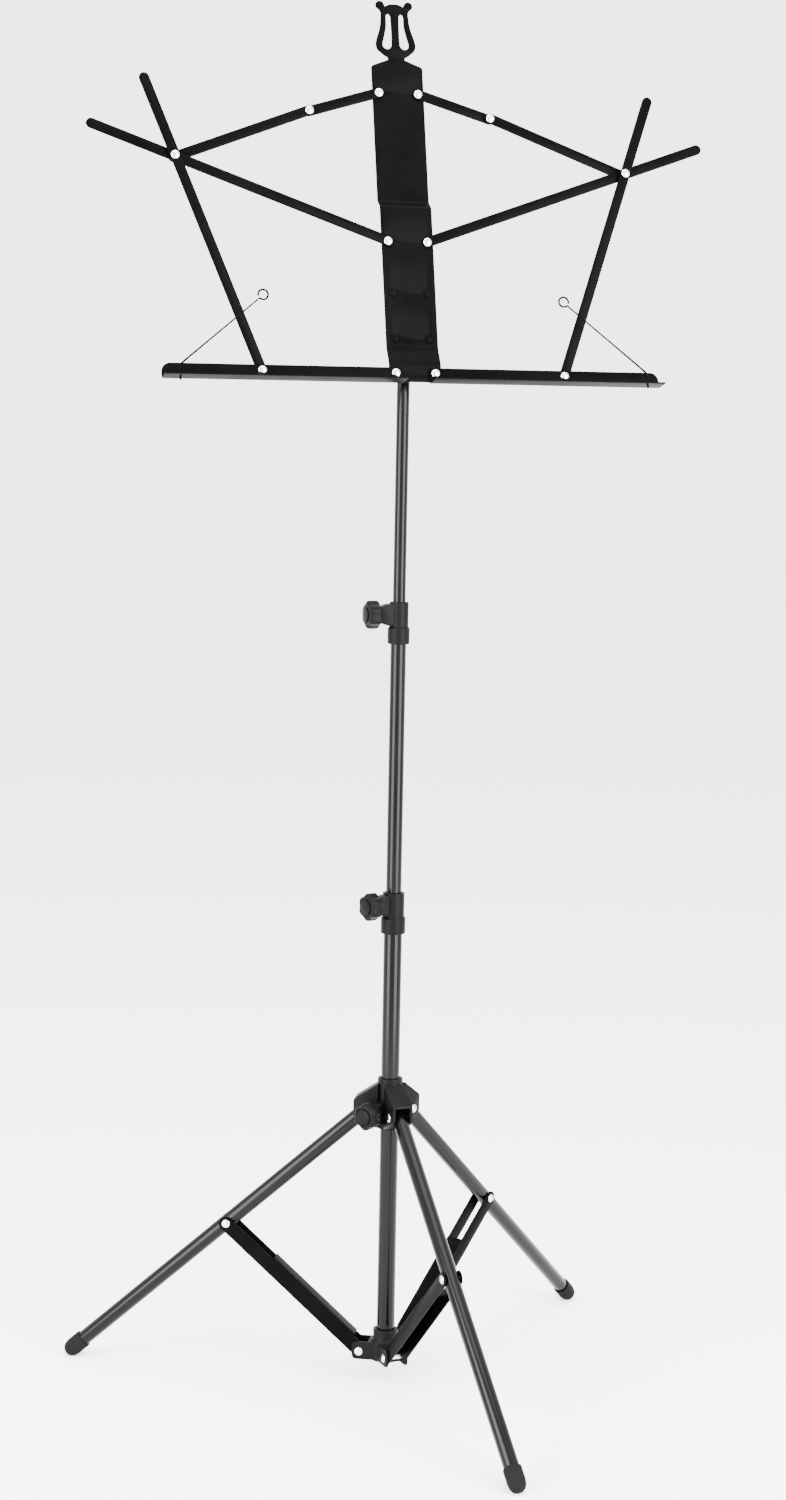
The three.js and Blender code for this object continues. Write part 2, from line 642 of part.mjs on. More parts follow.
// The plate is one stamping whose lower stretches step forward, so that the folded bars stack in front of it.
const centrePlate = () => {
  const lean = SHEET * 0.35;
  const side = [
    [lowFront, PLATE_BOTTOM - 1],
    [lowFront, LOW_JOGGLE[0]],
    [midFront, LOW_JOGGLE[1]],
    [midFront, HIGH_JOGGLE[0]],
    [0, HIGH_JOGGLE[1]],
    [0, FINIAL_TOP + 1],
    [-SHEET, FINIAL_TOP + 1],
    [-SHEET, HIGH_JOGGLE[1] - lean],
    [midFront - SHEET, HIGH_JOGGLE[0] - lean],
    [midFront - SHEET, LOW_JOGGLE[1] - lean],
    [lowFront - SHEET, LOW_JOGGLE[0] - lean],
    [lowFront - SHEET, PLATE_BOTTOM - 1],
  ];
  const sheet = acrossX(side, -PLATE_HALF_W - 1, PLATE_HALF_W + 1);
  return overlap(sheet, slab(plateFace(), -SHEET - 5, lowFront + 5));
};

// ---------------------------------------------------------------- bars, stays and ledge
const placeStrap = (parent, name, geometry, from, to) => {
  const mesh = piece(parent, name, geometry, blackPaint);
  mesh.position.set(from.x, from.y, 0);
  mesh.rotation.z = Math.atan2(to.y - from.y, to.x - from.x);
};

const strap = (length, holes, back) => slab(strapShape(length, STRAP_W, holes), back, back + SHEET);

// The outer bar carries the closed end of its ledge rivet on its back.
const outerBar = () =>
  join(
    strap(OUTER_BAR, [KITE_LONG], outerBarBack),
    rod(TAIL_R, outerBarBack - TAIL_H, outerBarBack + 0.5, SMALL),
  );

// Half of the ledge: a flange riveted to the bars, and a shelf that carries the music, with a hole for the
// retainer's stub at the given distance ahead of the flange.
const ledge = (retainerAhead) => {
  const bend = 2;
  const bottom = ledgePin.y - LEDGE_DROP;
  const shelfTop = bottom + SHEET;
  const shelfFront = flangeBack + LEDGE_DEPTH;
  const flangeFront = flangeBack + SHEET;
  const top = ledgePin.y + LEDGE_TOP;
  const section = [
    [flangeBack, top],
    [flangeBack, bottom + bend],
    [flangeBack + 0.3 * bend, bottom + 0.3 * bend],
    [flangeBack + bend, bottom],
    [shelfFront, bottom],
    [shelfFront, shelfTop],
    [flangeFront + 0.8, shelfTop],
    [flangeFront, shelfTop + 0.8],
    [flangeFront, top],
  ];
  const round = top - shelfTop - 2;
  const face = new THREE.Shape()
    .moveTo(LEDGE_INNER - 1, bottom - 1)
    .lineTo(LEDGE_END + 1, bottom - 1)
    .lineTo(LEDGE_END + 1, top - round)
    .lineTo(LEDGE_END, top - round)
    .absarc(LEDGE_END - round, top - round, round, 0, Math.PI / 2, false)
    .lineTo(LEDGE_INNER - 1, top);
  face.holes.push(circleHole(ledgePin.x, ledgePin.y, HOLE_R), circleHole(outerPin.x, outerPin.y, HOLE_R));
  const stubHole = rod(RETAINER_R + GAP, -4, 4, SMALL)
    .rotateX(Math.PI / 2)
    .translate(RETAINER_U, shelfTop, flangeFront + retainerAhead);
  const bent = acrossX(section, LEDGE_INNER, LEDGE_END);
  return cut(overlap(bent, slab(face, flangeBack - 1, shelfFront + 1)), stubHole);
};

// Bent wire that keeps the pages open: a stub through the shelf, an arm that leans inwards, and an eye.
const pageRetainer = () => {
  const start = -LEDGE_DROP - 3;
  const reach = Math.hypot(RETAINER_RUN, RETAINER_CLIMB);
  const along = new THREE.Vector3(-RETAINER_RUN, RETAINER_CLIMB, 0).divideScalar(reach);
  const knee = new THREE.Vector3(0, RETAINER_RISE - LEDGE_DROP, 0);
  const bendR = 4;
  const path = new THREE.CurvePath();
  const beforeKnee = new THREE.Vector3(0, knee.y - bendR, 0);
  const afterKnee = knee.clone().addScaledVector(along, bendR);
  const end = knee.clone().addScaledVector(along, reach - RETAINER_EYE);
  path.add(new THREE.LineCurve3(new THREE.Vector3(0, start, 0), beforeKnee));
  path.add(new THREE.QuadraticBezierCurve3(beforeKnee, knee, afterKnee));
  path.add(new THREE.LineCurve3(afterKnee, end));
  const section = new THREE.Shape().absarc(0, 0, RETAINER_R, 0, 2 * Math.PI, false);
  const arm = new THREE.ExtrudeGeometry(section, { steps: 12, curveSegments: 3, extrudePath: path });
  const centre = knee.clone().addScaledVector(along, reach);
  const eye = new THREE.TorusGeometry(RETAINER_EYE, RETAINER_R, 6, 14).translate(...centre.toArray());
  return join(arm, eye);
};

const buildHalf = (desk, side, label) => {
  const half = new THREE.Group();
  half.scale.x = side;
  desk.add(half);
  const elbowReach = elbow.distanceTo(stayPin) + STRAP_W / 2;
  const outerReach = elbow.distanceTo(crossing);
  const innerStay = strap(elbowReach, [0], stayInnerBack);
  const outerStay = strap(outerReach + STRAP_W / 2, [0, outerReach], stayOuterBack);
  const lowerBar = strap(LOWER_BAR, [0, KITE_LONG], lowerBarBack);
  placeStrap(half, `${label}_inner_stay`, innerStay, stayPin, elbow);
  placeStrap(half, `${label}_outer_stay`, outerStay, elbow, crossing);
  placeStrap(half, `${label}_lower_bar`, lowerBar, barPin, crossing);
  placeStrap(half, `${label}_outer_bar`, outerBar(), outerPin, crossing);
  const retainerAhead = side > 0 ? RETAINER_AHEAD : RETAINER_AHEAD - RETAINER_STAGGER;
  piece(half, `${label}_ledge`, ledge(retainerAhead), blackPaint);
  const retainer = piece(half, `${label}_page_retainer`, pageRetainer(), blackPaint);
  retainer.position.set(RETAINER_U, ledgePin.y, flangeBack + SHEET + retainerAhead);
  const rivets = {
    stay_pivot: [stayPin, rivet(-SHEET - GAP, stayHeadFrom)],
    elbow_rivet: [elbow, rivet(stayHeadFrom + TAIL_H, elbowHeadFrom)],
    bar_pivot: [barPin, rivet(midFront - SHEET - GAP, barHeadFrom)],
    crossing_rivet: [
      crossing,
      rivet(stayOuterBack - GAP, flangeBack, {
        collars: [[elbowHeadFrom, lowerBarBack - GAP], [barHeadFrom, outerBarBack - GAP]],
      }),
    ],
    ledge_pivot: [ledgePin, rivet(lowFront - SHEET - GAP, ledgeHeadFrom)],
    ledge_rivet: [outerPin, rivet(flangeBack + GAP, ledgeHeadFrom, { tail: 0 })],
  };
  for (const [name, [at, geometry]] of Object.entries(rivets))
    piece(half, `${label}_${name}`, geometry, nickel).position.set(at.x, at.y, 0);
};

// ---------------------------------------------------------------- tilt joint
// Head on the upper tube: a plug, a collar and a tongue that the bracket's ears hold.
const tiltHead = () => {
  const plugR = UPPER_R - WALL - GAP;
  const stem = turned([
    [0, headCollarZ - HEAD_PLUG_DROP],
    [plugR, headCollarZ - HEAD_PLUG_DROP],
    [plugR, headCollarZ],
    [UPPER_R + 0.6, headCollarZ],
    [UPPER_R + 0.6, headCollarZ + 3],
    [TONGUE_HALF_W, headCollarZ + 4.5],
    [0, headCollarZ + 4.5],
  ]);
  const tongue = slab(tongueShape(headCollarZ + 3 - PIVOT_Z), -TONGUE_HALF_W, TONGUE_HALF_W)
    .rotateY(Math.PI / 2)
    .rotateX(Math.PI / 2)
    .translate(0, 0, PIVOT_Z);
  const hole = rod(SCREW_R + GAP, -10, 10, SMALL).rotateY(Math.PI / 2).translate(0, 0, PIVOT_Z);
  return cut(join(stem, tongue), hole);
};

// Stadium-shaped side outline, from the round top down to the given height.
const tongueShape = (down) =>
  new THREE.Shape()
    .absarc(0, 0, EAR_R - 1, 0, Math.PI, false)
    .lineTo(-UPPER_R, down)
    .lineTo(UPPER_R, down);

const earInner = TONGUE_HALF_W + GAP;
const earOuter = earInner + SHEET;

// U-shaped bracket behind the plate, with the four rivets that hold it.
const tiltBracket = () => {
  const base = block(
    [-BRACKET_HALF_W, BRACKET_RIVET_V[0] - BRACKET_EDGE, bracketBack],
    [BRACKET_HALF_W, BRACKET_RIVET_V[1] + BRACKET_EDGE, bracketBack + SHEET],
  );
  const ear = (side) => {
    const shape = new THREE.Shape()
      .moveTo(-bracketBack - 1, TILT_V + EAR_R + 6)
      .lineTo(-bracketBack - 1, TILT_V - EAR_R - 6)
      .lineTo(-bracketBack + 3, TILT_V - EAR_R)
      .absarc(-pivotBack, TILT_V, EAR_R, -Math.PI / 2, Math.PI / 2, false)
      .lineTo(-bracketBack + 3, TILT_V + EAR_R);
    shape.holes.push(circleHole(-pivotBack, TILT_V, SCREW_R + GAP));
    const from = side > 0 ? earInner : -earInner - SHEET;
    return slab(shape, from, from + SHEET).rotateY(Math.PI / 2);
  };
  const studs = BRACKET_RIVET_V.flatMap((v) =>
    [-1, 1].map((side) =>
      rivet(bracketBack + 0.5, midFront + GAP, { tail: 0 }).translate(side * BRACKET_RIVET_U, v, 0),
    ),
  );
  return join(base, ear(1), ear(-1), ...studs);
};

// Bolt along X with a hexagonal head on the left ear.
const tiltBolt = () =>
  join(
    rod(BOLT_HEAD_R, -earOuter - GAP - BOLT_HEAD_H, -earOuter - GAP, 6),
    rod(SCREW_R, -earOuter - GAP - 1, earOuter + GAP + NUT_H + 2, SMALL),
  ).rotateY(Math.PI / 2);

const wingNut = () => {
  const from = earOuter + GAP;
  const wing = new THREE.Shape()
    .moveTo(SCREW_R + 1, 0)
    .lineTo(NUT_R + WING_REACH, NUT_H - WING_TIP_R)
    .absarc(NUT_R + WING_REACH, NUT_H, WING_TIP_R, -Math.PI / 2, Math.PI / 2, false)
    .lineTo(SCREW_R + 1, NUT_H - 1);
  const wings = [0, Math.PI].map((turn) =>
    slab(wing, -WING_HALF_T, WING_HALF_T).rotateX(Math.PI / 2).rotateZ(turn).translate(0, 0, from),
  );
  const barrel = turned([
    [0, from],
    [NUT_R, from],
    [NUT_R - 1, from + NUT_H],
    [0, from + NUT_H],
  ]);
  const thread = rod(SCREW_R + GAP, from - 1, from + 2 * NUT_H, SMALL);
  return cut(join(barrel, ...wings), thread).rotateY(Math.PI / 2);
};

const buildDesk = () => {
  const desk = deskFrame();
  piece(stand, "tilt_head", tiltHead(), blackPlastic);
  piece(desk, "tilt_bracket", tiltBracket(), blackPaint);
  piece(desk, "tilt_bolt", tiltBolt(), nickel).position.set(0, TILT_V, pivotBack);
  piece(desk, "tilt_wing_nut", wingNut(), nickel).position.set(0, TILT_V, pivotBack);
  piece(desk, "desk_plate", centrePlate(), blackPaint);
  buildHalf(desk, 1, "right");
  buildHalf(desk, -1, "left");
};

buildTripod();
buildMast();
buildDesk();

// Origin on the floor, under the middle of the bounding box.
const extent = new THREE.Box3().setFromObject(stand, true);
const middle = extent.getCenter(new THREE.Vector3());
stand.position.set(-middle.x, -middle.y, -extent.min.z);

export default stand;
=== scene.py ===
"""Folding music stand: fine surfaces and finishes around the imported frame, with a plain studio.

Shapes are worked out in millimetres, with the mast's axis at x = y = 0 and the floor at z = 0, and
are set down in metres in the row frame. Each fine piece stands for the CAD node of the same name.
"""

import json
import logging
import math
from dataclasses import dataclass, field
from enum import Enum
from typing import Callable, Iterable, Sequence

import bmesh
import bpy
from mathutils import Matrix, Vector

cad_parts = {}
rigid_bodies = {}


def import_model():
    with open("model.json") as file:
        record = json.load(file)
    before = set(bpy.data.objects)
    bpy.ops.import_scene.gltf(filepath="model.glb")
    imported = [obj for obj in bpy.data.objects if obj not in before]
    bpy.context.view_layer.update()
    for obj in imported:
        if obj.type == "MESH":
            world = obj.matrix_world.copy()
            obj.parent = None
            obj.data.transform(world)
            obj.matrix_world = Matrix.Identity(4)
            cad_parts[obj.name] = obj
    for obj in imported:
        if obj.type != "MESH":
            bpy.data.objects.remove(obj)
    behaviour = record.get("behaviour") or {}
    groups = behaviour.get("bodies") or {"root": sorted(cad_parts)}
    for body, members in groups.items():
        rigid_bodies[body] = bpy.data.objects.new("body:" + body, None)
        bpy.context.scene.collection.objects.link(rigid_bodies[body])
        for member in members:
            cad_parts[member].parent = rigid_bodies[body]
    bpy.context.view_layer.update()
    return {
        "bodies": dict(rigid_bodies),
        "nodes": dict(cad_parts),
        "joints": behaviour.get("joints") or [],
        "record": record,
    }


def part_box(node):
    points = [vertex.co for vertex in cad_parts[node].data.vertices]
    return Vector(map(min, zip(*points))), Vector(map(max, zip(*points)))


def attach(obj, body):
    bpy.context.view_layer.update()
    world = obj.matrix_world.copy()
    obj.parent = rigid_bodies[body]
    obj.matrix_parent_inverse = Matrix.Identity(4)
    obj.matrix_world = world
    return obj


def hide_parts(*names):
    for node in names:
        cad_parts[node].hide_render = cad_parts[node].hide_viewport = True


LOG = logging.getLogger("music_stand")

Point2 = tuple[float, float]
Profile = list[Point2]
Colour = tuple[float, float, float]

MM = 0.001
GAP = 0.3
WALL = 1.0
SHEET = 1.5
LEG_COUNT = 3
SIDES = {"right": 1, "left": -1}


# ------------------------------------------------------------------ outlines
def arc(centre: Point2, radius: float, start: float, end: float, steps: int = 16) -> Profile:
    """Points on a circle.

    Args:
        centre: The circle's centre.
        radius: Its radius.
        start: First angle, in degrees.
        end: Last angle, in degrees.
        steps: How many stretches the arc has.

    Returns:
        The points, both ends included.
    """
    angles = [math.radians(start + (end - start) * i / steps) for i in range(steps + 1)]
    return [(centre[0] + radius * math.cos(a), centre[1] + radius * math.sin(a)) for a in angles]


def rounded(corners: Sequence[Point2], radius: float, closed: bool = True, steps: int = 5) -> Profile:
    """An outline with its corners eased.

    Args:
        corners: The sharp corners in order.
        radius: How far from each corner the easing starts, at most.
        closed: Whether the last corner joins the first. An open outline keeps its two ends.
        steps: Stretches in each eased corner.

    Returns:
        The eased outline.
    """
    count = len(corners)
    made: Profile = []
    for i, corner in enumerate(corners):
        if not closed and i in (0, count - 1):
            made.append(corner)
            continue
        here = Vector(corner)
        before = Vector(corners[i - 1]) - here
        after = Vector(corners[(i + 1) % count]) - here
        reach = min(radius, 0.45 * before.length, 0.45 * after.length)
        first, last = here + before.normalized() * reach, here + after.normalized() * reach
        for k in range(steps + 1):
            t = k / steps
            point = first * (1 - t) ** 2 + here * (2 * t * (1 - t)) + last * t**2
            made.append((point.x, point.y))
    return made


def spline(points: Sequence[Point2], count: int) -> Profile:
    """A smooth curve through points.

    Args:
        points: What the curve passes through.
        count: How many stretches it is drawn with.

    Returns:
        The curve's points, both ends included.
    """
    last = len(points) - 1
    made: Profile = []
    for i in range(count + 1):
        place = i / count * last
        k = min(int(place), last - 1)
        t = place - k
        around = [Vector(points[min(max(k + d, 0), last)]) for d in (-1, 0, 1, 2)]
        a, b, c, d = around
        tangent_b, tangent_c = (c - a) / 2, (d - b) / 2
        point = (
            b * (2 * t**3 - 3 * t**2 + 1)
            + c * (3 * t**2 - 2 * t**3)
            + tangent_b * (t**3 - 2 * t**2 + t)
            + tangent_c * (t**3 - t**2)
        )
        made.append((point.x, point.y))
    return made


def stadium(length: float, width: float) -> Profile:
    """A flat bar's outline, with round ends: its first end is centred on the origin, its tip at length."""
    r = width / 2
    return arc((length - r, 0), r, -90, 90) + arc((0, 0), r, 90, 270)


def ease(low: float, high: float, value: float) -> float:
    """0 below low, 1 above high, and a smooth step between them."""
    t = min(max((value - low) / (high - low), 0.0), 1.0)
    return t * t * (3 - 2 * t)


def span(low: float, high: float, steps: int) -> list[float]:
    """Evenly spread values from low to high, both included."""
    return [low + (high - low) * i / steps for i in range(steps + 1)]


def about_z(degrees: float) -> Matrix:
    """A turn about the mast."""
    return Matrix.Rotation(math.radians(degrees), 4, "Z")


def shift(x: float, y: float, z: float) -> Matrix:
    """A move."""
    return Matrix.Translation((x, y, z))


# A shape drawn in X and Y and thick along Z stands up, with its Y along Z and its thickness along Y.
UPRIGHT = Matrix.Rotation(math.pi / 2, 4, "X")
# A shape turned about Z points along X.
POINTING = Matrix.Rotation(math.pi / 2, 4, "Y")


# ------------------------------------------------------------------ solids
class Solid:
    """A closed mesh under construction, in millimetres."""

    def __init__(self, mesh: bpy.types.Mesh) -> None:
        """Holds the mesh."""
        self.mesh = mesh

    @classmethod
    def from_bmesh(cls, bm: bmesh.types.BMesh) -> "Solid":
        """A solid from a bmesh, whose faces are turned outwards and which is freed."""
        bmesh.ops.recalc_face_normals(bm, faces=bm.faces)
        mesh = bpy.data.meshes.new("solid")
        bm.to_mesh(mesh)
        bm.free()
        return cls(mesh)

    @classmethod
    def lathe(cls, profile: Sequence[Point2], segments: int = 72) -> "Solid":
        """A profile turned about Z.

        Args:
            profile: Points of radius and height, from the axis to the axis, or closing on themselves.
            segments: Sides of the round.

        Returns:
            The solid.
        """
        return cls.lobed([(r, z, 0.0) for r, z in profile], 0, 0.0, segments)

    @classmethod
    def lobed(
        cls,
        profile: Sequence[tuple[float, float, float]],
        lobes: int,
        flute: float,
        segments: int = 144,
    ) -> "Solid":
        """A profile turned about Z, with flutes pressed into it.

        Args:
            profile: Radius, height and share of the flute's depth, for each ring.
            lobes: How many lobes stand between the flutes.
            flute: The flutes' depth.
            segments: Sides of the round.

        Returns:
            The solid.
        """
        bm = bmesh.new()
        closed = profile[0] == profile[-1]
        points = list(profile[:-1] if closed else profile)
        rings = [cls._ring(bm, point, lobes, flute, segments) for point in points]
        following = rings[1:] + rings[:1] if closed else rings[1:]
        for low, high in zip(rings, following):
            cls._bridge(bm, low, high, segments)
        return cls.from_bmesh(bm)

    @staticmethod
    def _ring(bm, point, lobes: int, flute: float, segments: int) -> list:
        """One ring's vertices, or a single one on the axis."""
        radius, z, share = point
        if radius < 1e-6:
            return [bm.verts.new((0, 0, z))]
        made = []
        for k in range(segments):
            a = 2 * math.pi * k / segments
            r = radius - flute * share * (0.5 - 0.5 * math.cos(lobes * a))
            made.append(bm.verts.new((r * math.cos(a), r * math.sin(a), z)))
        return made

    @staticmethod
    def _bridge(bm, low: list, high: list, segments: int) -> None:
        """The faces between two rings."""
        if len(low) == len(high) == 1:
            return
        for k in range(segments):
            n = (k + 1) % segments
            if len(low) == 1:
                corners = [low[0], high[n], high[k]]
            elif len(high) == 1:
                corners = [low[k], low[n], high[0]]
            else:
                corners = [low[k], low[n], high[n], high[k]]
            bm.faces.new(corners)

    @classmethod
    def sheet(
        cls,
        outline: Sequence[Point2],
        low: float,
        high: float,
        holes: Iterable[Sequence[Point2]] = (),
        edge: float = 0.25,
    ) -> "Solid":
        """A flat shape with thickness and eased edges.

        Args:
            outline: Its outside, in X and Y.
            low: Its back, along Z.
            high: Its front.
            holes: Outlines of openings in it.
            edge: Radius of the eased edges.

        Returns:
            The solid.
        """
        curve = bpy.data.curves.new("blank", "CURVE")
        curve.dimensions = "2D"
        curve.fill_mode = "BOTH"
        curve.extrude = (high - low) / 2 - edge
        curve.bevel_depth = edge
        curve.bevel_resolution = 1
        curve.offset = -edge
        for ring in (outline, *holes):
            points = curve.splines.new("POLY").points
            points.add(len(ring) - 1)
            for point, (x, y) in zip(points, ring):
                point.co = (x, y, 0, 1)
            curve.splines[-1].use_cyclic_u = True
        mesh = cls._evaluated(bpy.data.objects.new("blank", curve))
        bm = bmesh.new()
        bm.from_mesh(mesh)
        bmesh.ops.remove_doubles(bm, verts=bm.verts, dist=1e-3)
        bmesh.ops.translate(bm, verts=bm.verts, vec=(0, 0, (low + high) / 2))
        bpy.data.meshes.remove(mesh)
        bpy.data.curves.remove(curve)
        return cls.from_bmesh(bm)

    @classmethod
    def wire(cls, points: Sequence[Vector], radius: float) -> "Solid":
        """A round wire along points, with closed ends."""
        curve = bpy.data.curves.new("wire", "CURVE")
        curve.dimensions = "3D"
        curve.bevel_depth = radius
        curve.bevel_resolution = 5
        curve.use_fill_caps = True
        line = curve.splines.new("POLY").points
        line.add(len(points) - 1)
        for point, place in zip(line, points):
            point.co = (*place, 1)
        mesh = cls._evaluated(bpy.data.objects.new("wire", curve))
        bm = bmesh.new()
        bm.from_mesh(mesh)
        bmesh.ops.remove_doubles(bm, verts=bm.verts, dist=1e-4)
        bpy.data.meshes.remove(mesh)
        bpy.data.curves.remove(curve)
        return cls.from_bmesh(bm)

    @staticmethod
    def _evaluated(item: bpy.types.Object) -> bpy.types.Mesh:
        """The item's final mesh. The item itself is removed."""
        bpy.context.scene.collection.objects.link(item)
        graph = bpy.context.evaluated_depsgraph_get()
        mesh = bpy.data.meshes.new_from_object(item.evaluated_get(graph))
        bpy.data.objects.remove(item)
        return mesh

    def at(self, matrix: Matrix) -> "Solid":
        """Moves the solid, turning its faces back round if the matrix mirrors it."""
        self.mesh.transform(matrix)
        if matrix.determinant() < 0:
            self.mesh.flip_normals()
        return self

    def bent(self, axis: Vector, lines: Iterable[float], place: Callable[[Vector], Vector]) -> "Solid":
        """Bends a sheet.

        Args:
            axis: The direction that the bend lines are counted along.
            lines: Where the sheet gets extra edges, so that it can bend.
            place: Gives each point its new place.

        Returns:
            This solid.
        """
        bm = bmesh.new()
        bm.from_mesh(self.mesh)
        for line in lines:
            parts = bm.verts[:] + bm.edges[:] + bm.faces[:]
            bmesh.ops.bisect_plane(bm, geom=parts, dist=1e-4, plane_co=axis * line, plane_no=axis)
        for vert in bm.verts:
            vert.co = place(vert.co.copy())
        bmesh.ops.recalc_face_normals(bm, faces=bm.faces)
        bm.to_mesh(self.mesh)
        bm.free()
        return self

    def combined(self, others: Iterable["Solid"], operation: str) -> "Solid":
        """Joins or cuts with other solids.

        Args:
            others: The other solids, which are used up.
            operation: UNION, DIFFERENCE or INTERSECT.

        Returns:
            This solid.
        """
        for other in others:
            tool = bpy.data.objects.new("tool", other.mesh)
            bpy.context.scene.collection.objects.link(tool)
            work = bpy.data.objects.new("work", self.mesh)
            modifier = work.modifiers.new("combine", "BOOLEAN")
            modifier.operation = operation
            modifier.solver = "EXACT"
            modifier.object = tool
            self.mesh = self._evaluated(work)
            bpy.data.objects.remove(tool)
        return self

    def plus(self, *others: "Solid") -> "Solid":
        """This solid with others fused to it."""
        return self.combined(others, "UNION")

    def minus(self, *others: "Solid") -> "Solid":
        """This solid with others cut from it."""
        return self.combined(others, "DIFFERENCE")


def rod(radius: float, low: float, high: float, edge: float = 0.0, segments: int = 64) -> Solid:
    """A round bar along Z, with its edges eased."""
    profile = [(0.0, low), (radius, low), (radius, high), (0.0, high)]
    return Solid.lathe(rounded(profile, edge, closed=False) if edge else profile, segments)


def tube(outer: float, inner: float, low: float, high: float) -> Solid:
    """A round tube along Z, with eased rims."""
    corners = [(inner, low), (outer, low), (outer, high), (inner, high)]
    profile = rounded(corners, 0.25, steps=3)
    return Solid.lathe([*profile, profile[0]], 96)


def box(low: Sequence[float], high: Sequence[float]) -> Solid:
    """A block that cuts, between two corners."""
    corners = [(low[0], low[1]), (high[0], low[1]), (high[0], high[1]), (low[0], high[1])]
    return Solid.sheet(corners, low[2], high[2], edge=0.0)


def upright(outline: Sequence[Point2], half_width: float, edge: float = 0.6) -> Solid:
    """An outline of reach and height, as thick as twice half_width along Y."""
    return Solid.sheet(outline, -half_width, half_width, edge=edge).at(UPRIGHT)


# ------------------------------------------------------------------ finishes
class Wire:
    """A shader socket that sums can be written on."""

    def __init__(self, graph: "Graph", socket: bpy.types.NodeSocket) -> None:
        """Holds the socket and the graph it belongs to."""
        self.graph = graph
        self.socket = socket

    def __add__(self, other: "Wire | float") -> "Wire":
        """The sum."""
        return self.graph.math("ADD", self, other)

    def __radd__(self, other: float) -> "Wire":
        """The sum, with a number in front."""
        return self.graph.math("ADD", other, self)

    def __sub__(self, other: "Wire | float") -> "Wire":
        """The difference."""
        return self.graph.math("SUBTRACT", self, other)

    def __rsub__(self, other: float) -> "Wire":
        """The difference, with a number in front."""
        return self.graph.math("SUBTRACT", other, self)

    def __mul__(self, other: "Wire | float") -> "Wire":
        """The product."""
        return self.graph.math("MULTIPLY", self, other)

    def __rmul__(self, other: float) -> "Wire":
        """The product, with a number in front."""
        return self.graph.math("MULTIPLY", other, self)


class Graph:
    """A material's nodes."""

    def __init__(self, name: str) -> None:
        """Starts an empty material with that name."""
        self.material = bpy.data.materials.new(name)
        self.material.use_nodes = True
        self.tree = self.material.node_tree
        self.tree.nodes.clear()

    def node(self, kind: str, settings: dict | None = None, **inputs: object) -> bpy.types.Node:
        """Makes a node.

        Args:
            kind: The node's type, without its ShaderNode prefix.
            settings: What is set on the node first. Stops are a ramp's places and colours.
            inputs: A value or a Wire for each socket, with _ for a space.

        Returns:
            The node.
        """
        made = self.tree.nodes.new("ShaderNode" + kind)
        for name, value in (settings or {}).items():
            if name == "stops":
                self._set_stops(made.color_ramp, value)
            else:
                setattr(made, name, value)
        for name, value in inputs.items():
            self.feed(made.inputs[name.replace("_", " ")], value)
        return made

    @staticmethod
    def _set_stops(ramp: bpy.types.ColorRamp, stops: Sequence[tuple[float, float]]) -> None:
        """Sets a ramp's grey stops: a place and a brightness each."""
        while len(ramp.elements) < len(stops):
            ramp.elements.new(0.5)
        for element, (place, grey) in zip(ramp.elements, stops):
            element.position = place
            element.color = (grey, grey, grey, 1)

    def feed(self, socket: bpy.types.NodeSocket, value: object) -> None:
        """Links a Wire to a socket, or sets the socket's own value."""
        if isinstance(value, Wire):
            self.tree.links.new(value.socket, socket)
        else:
            socket.default_value = value

    def math(self, operation: str, *values: "Wire | float") -> Wire:
        """A sum on numbers.

        Args:
            operation: The Math node's operation.
            values: Its inputs in order.

        Returns:
            The result.
        """
        made = self.node("Math", {"operation": operation})
        for socket, value in zip(made.inputs, values):
            self.feed(socket, value)
        return Wire(self, made.outputs[0])

    def mix(self, factor: Wire, dark: Colour, light: Colour) -> Wire:
        """A colour between two, by a factor."""
        made = self.node("Mix", {"data_type": "RGBA"})
        for index, value in ((0, factor), (6, (*dark, 1)), (7, (*light, 1))):
            self.feed(made.inputs[index], value)
        return Wire(self, made.outputs[2])

    def stretched(self, scale: tuple[float, float, float]) -> Wire:
        """The piece's own coordinates, in metres, multiplied by a scale along each axis."""
        place = self.node("TexCoord")
        made = self.node("VectorMath", {"operation": "MULTIPLY"})
        self.feed(made.inputs[0], Wire(self, place.outputs["Object"]))
        self.feed(made.inputs[1], scale)
        return Wire(self, made.outputs[0])

    def noise(self, scale: tuple[float, float, float], detail: float, stops=((0.3, 0), (0.7, 1))) -> Wire:
        """Soft noise from 0 to 1.

        Args:
            scale: How often it repeats in a metre, along each axis.
            detail: How many finer layers it has.
            stops: The ramp that spreads it.

        Returns:
            The noise.
        """
        made = self.node("TexNoise", None, Vector=self.stretched(scale), Scale=1.0, Detail=detail)
        ramp = self.node("ValToRGB", {"stops": stops}, Fac=Wire(self, made.outputs["Fac"]))
        return Wire(self, ramp.outputs["Color"])

    def bump(self, height: Wire, strength: float, distance: float) -> Wire:
        """A bumped normal."""
        made = self.node("Bump", None, Height=height, Strength=strength, Distance=distance)
        return Wire(self, made.outputs["Normal"])

    def close(self, **inputs: object) -> bpy.types.Material:
        """Adds the shader and the output, and gives the finished material."""
        shader = self.node("BsdfPrincipled", None, **inputs)
        output = self.node("OutputMaterial")
        self.tree.links.new(shader.outputs["BSDF"], output.inputs["Surface"])
        return self.material


class Grain(Enum):
    """How a finish's fine surface runs."""

    EVEN = (1.0, 1.0, 1.0)
    DRAWN = (1.0, 1.0, 0.02)


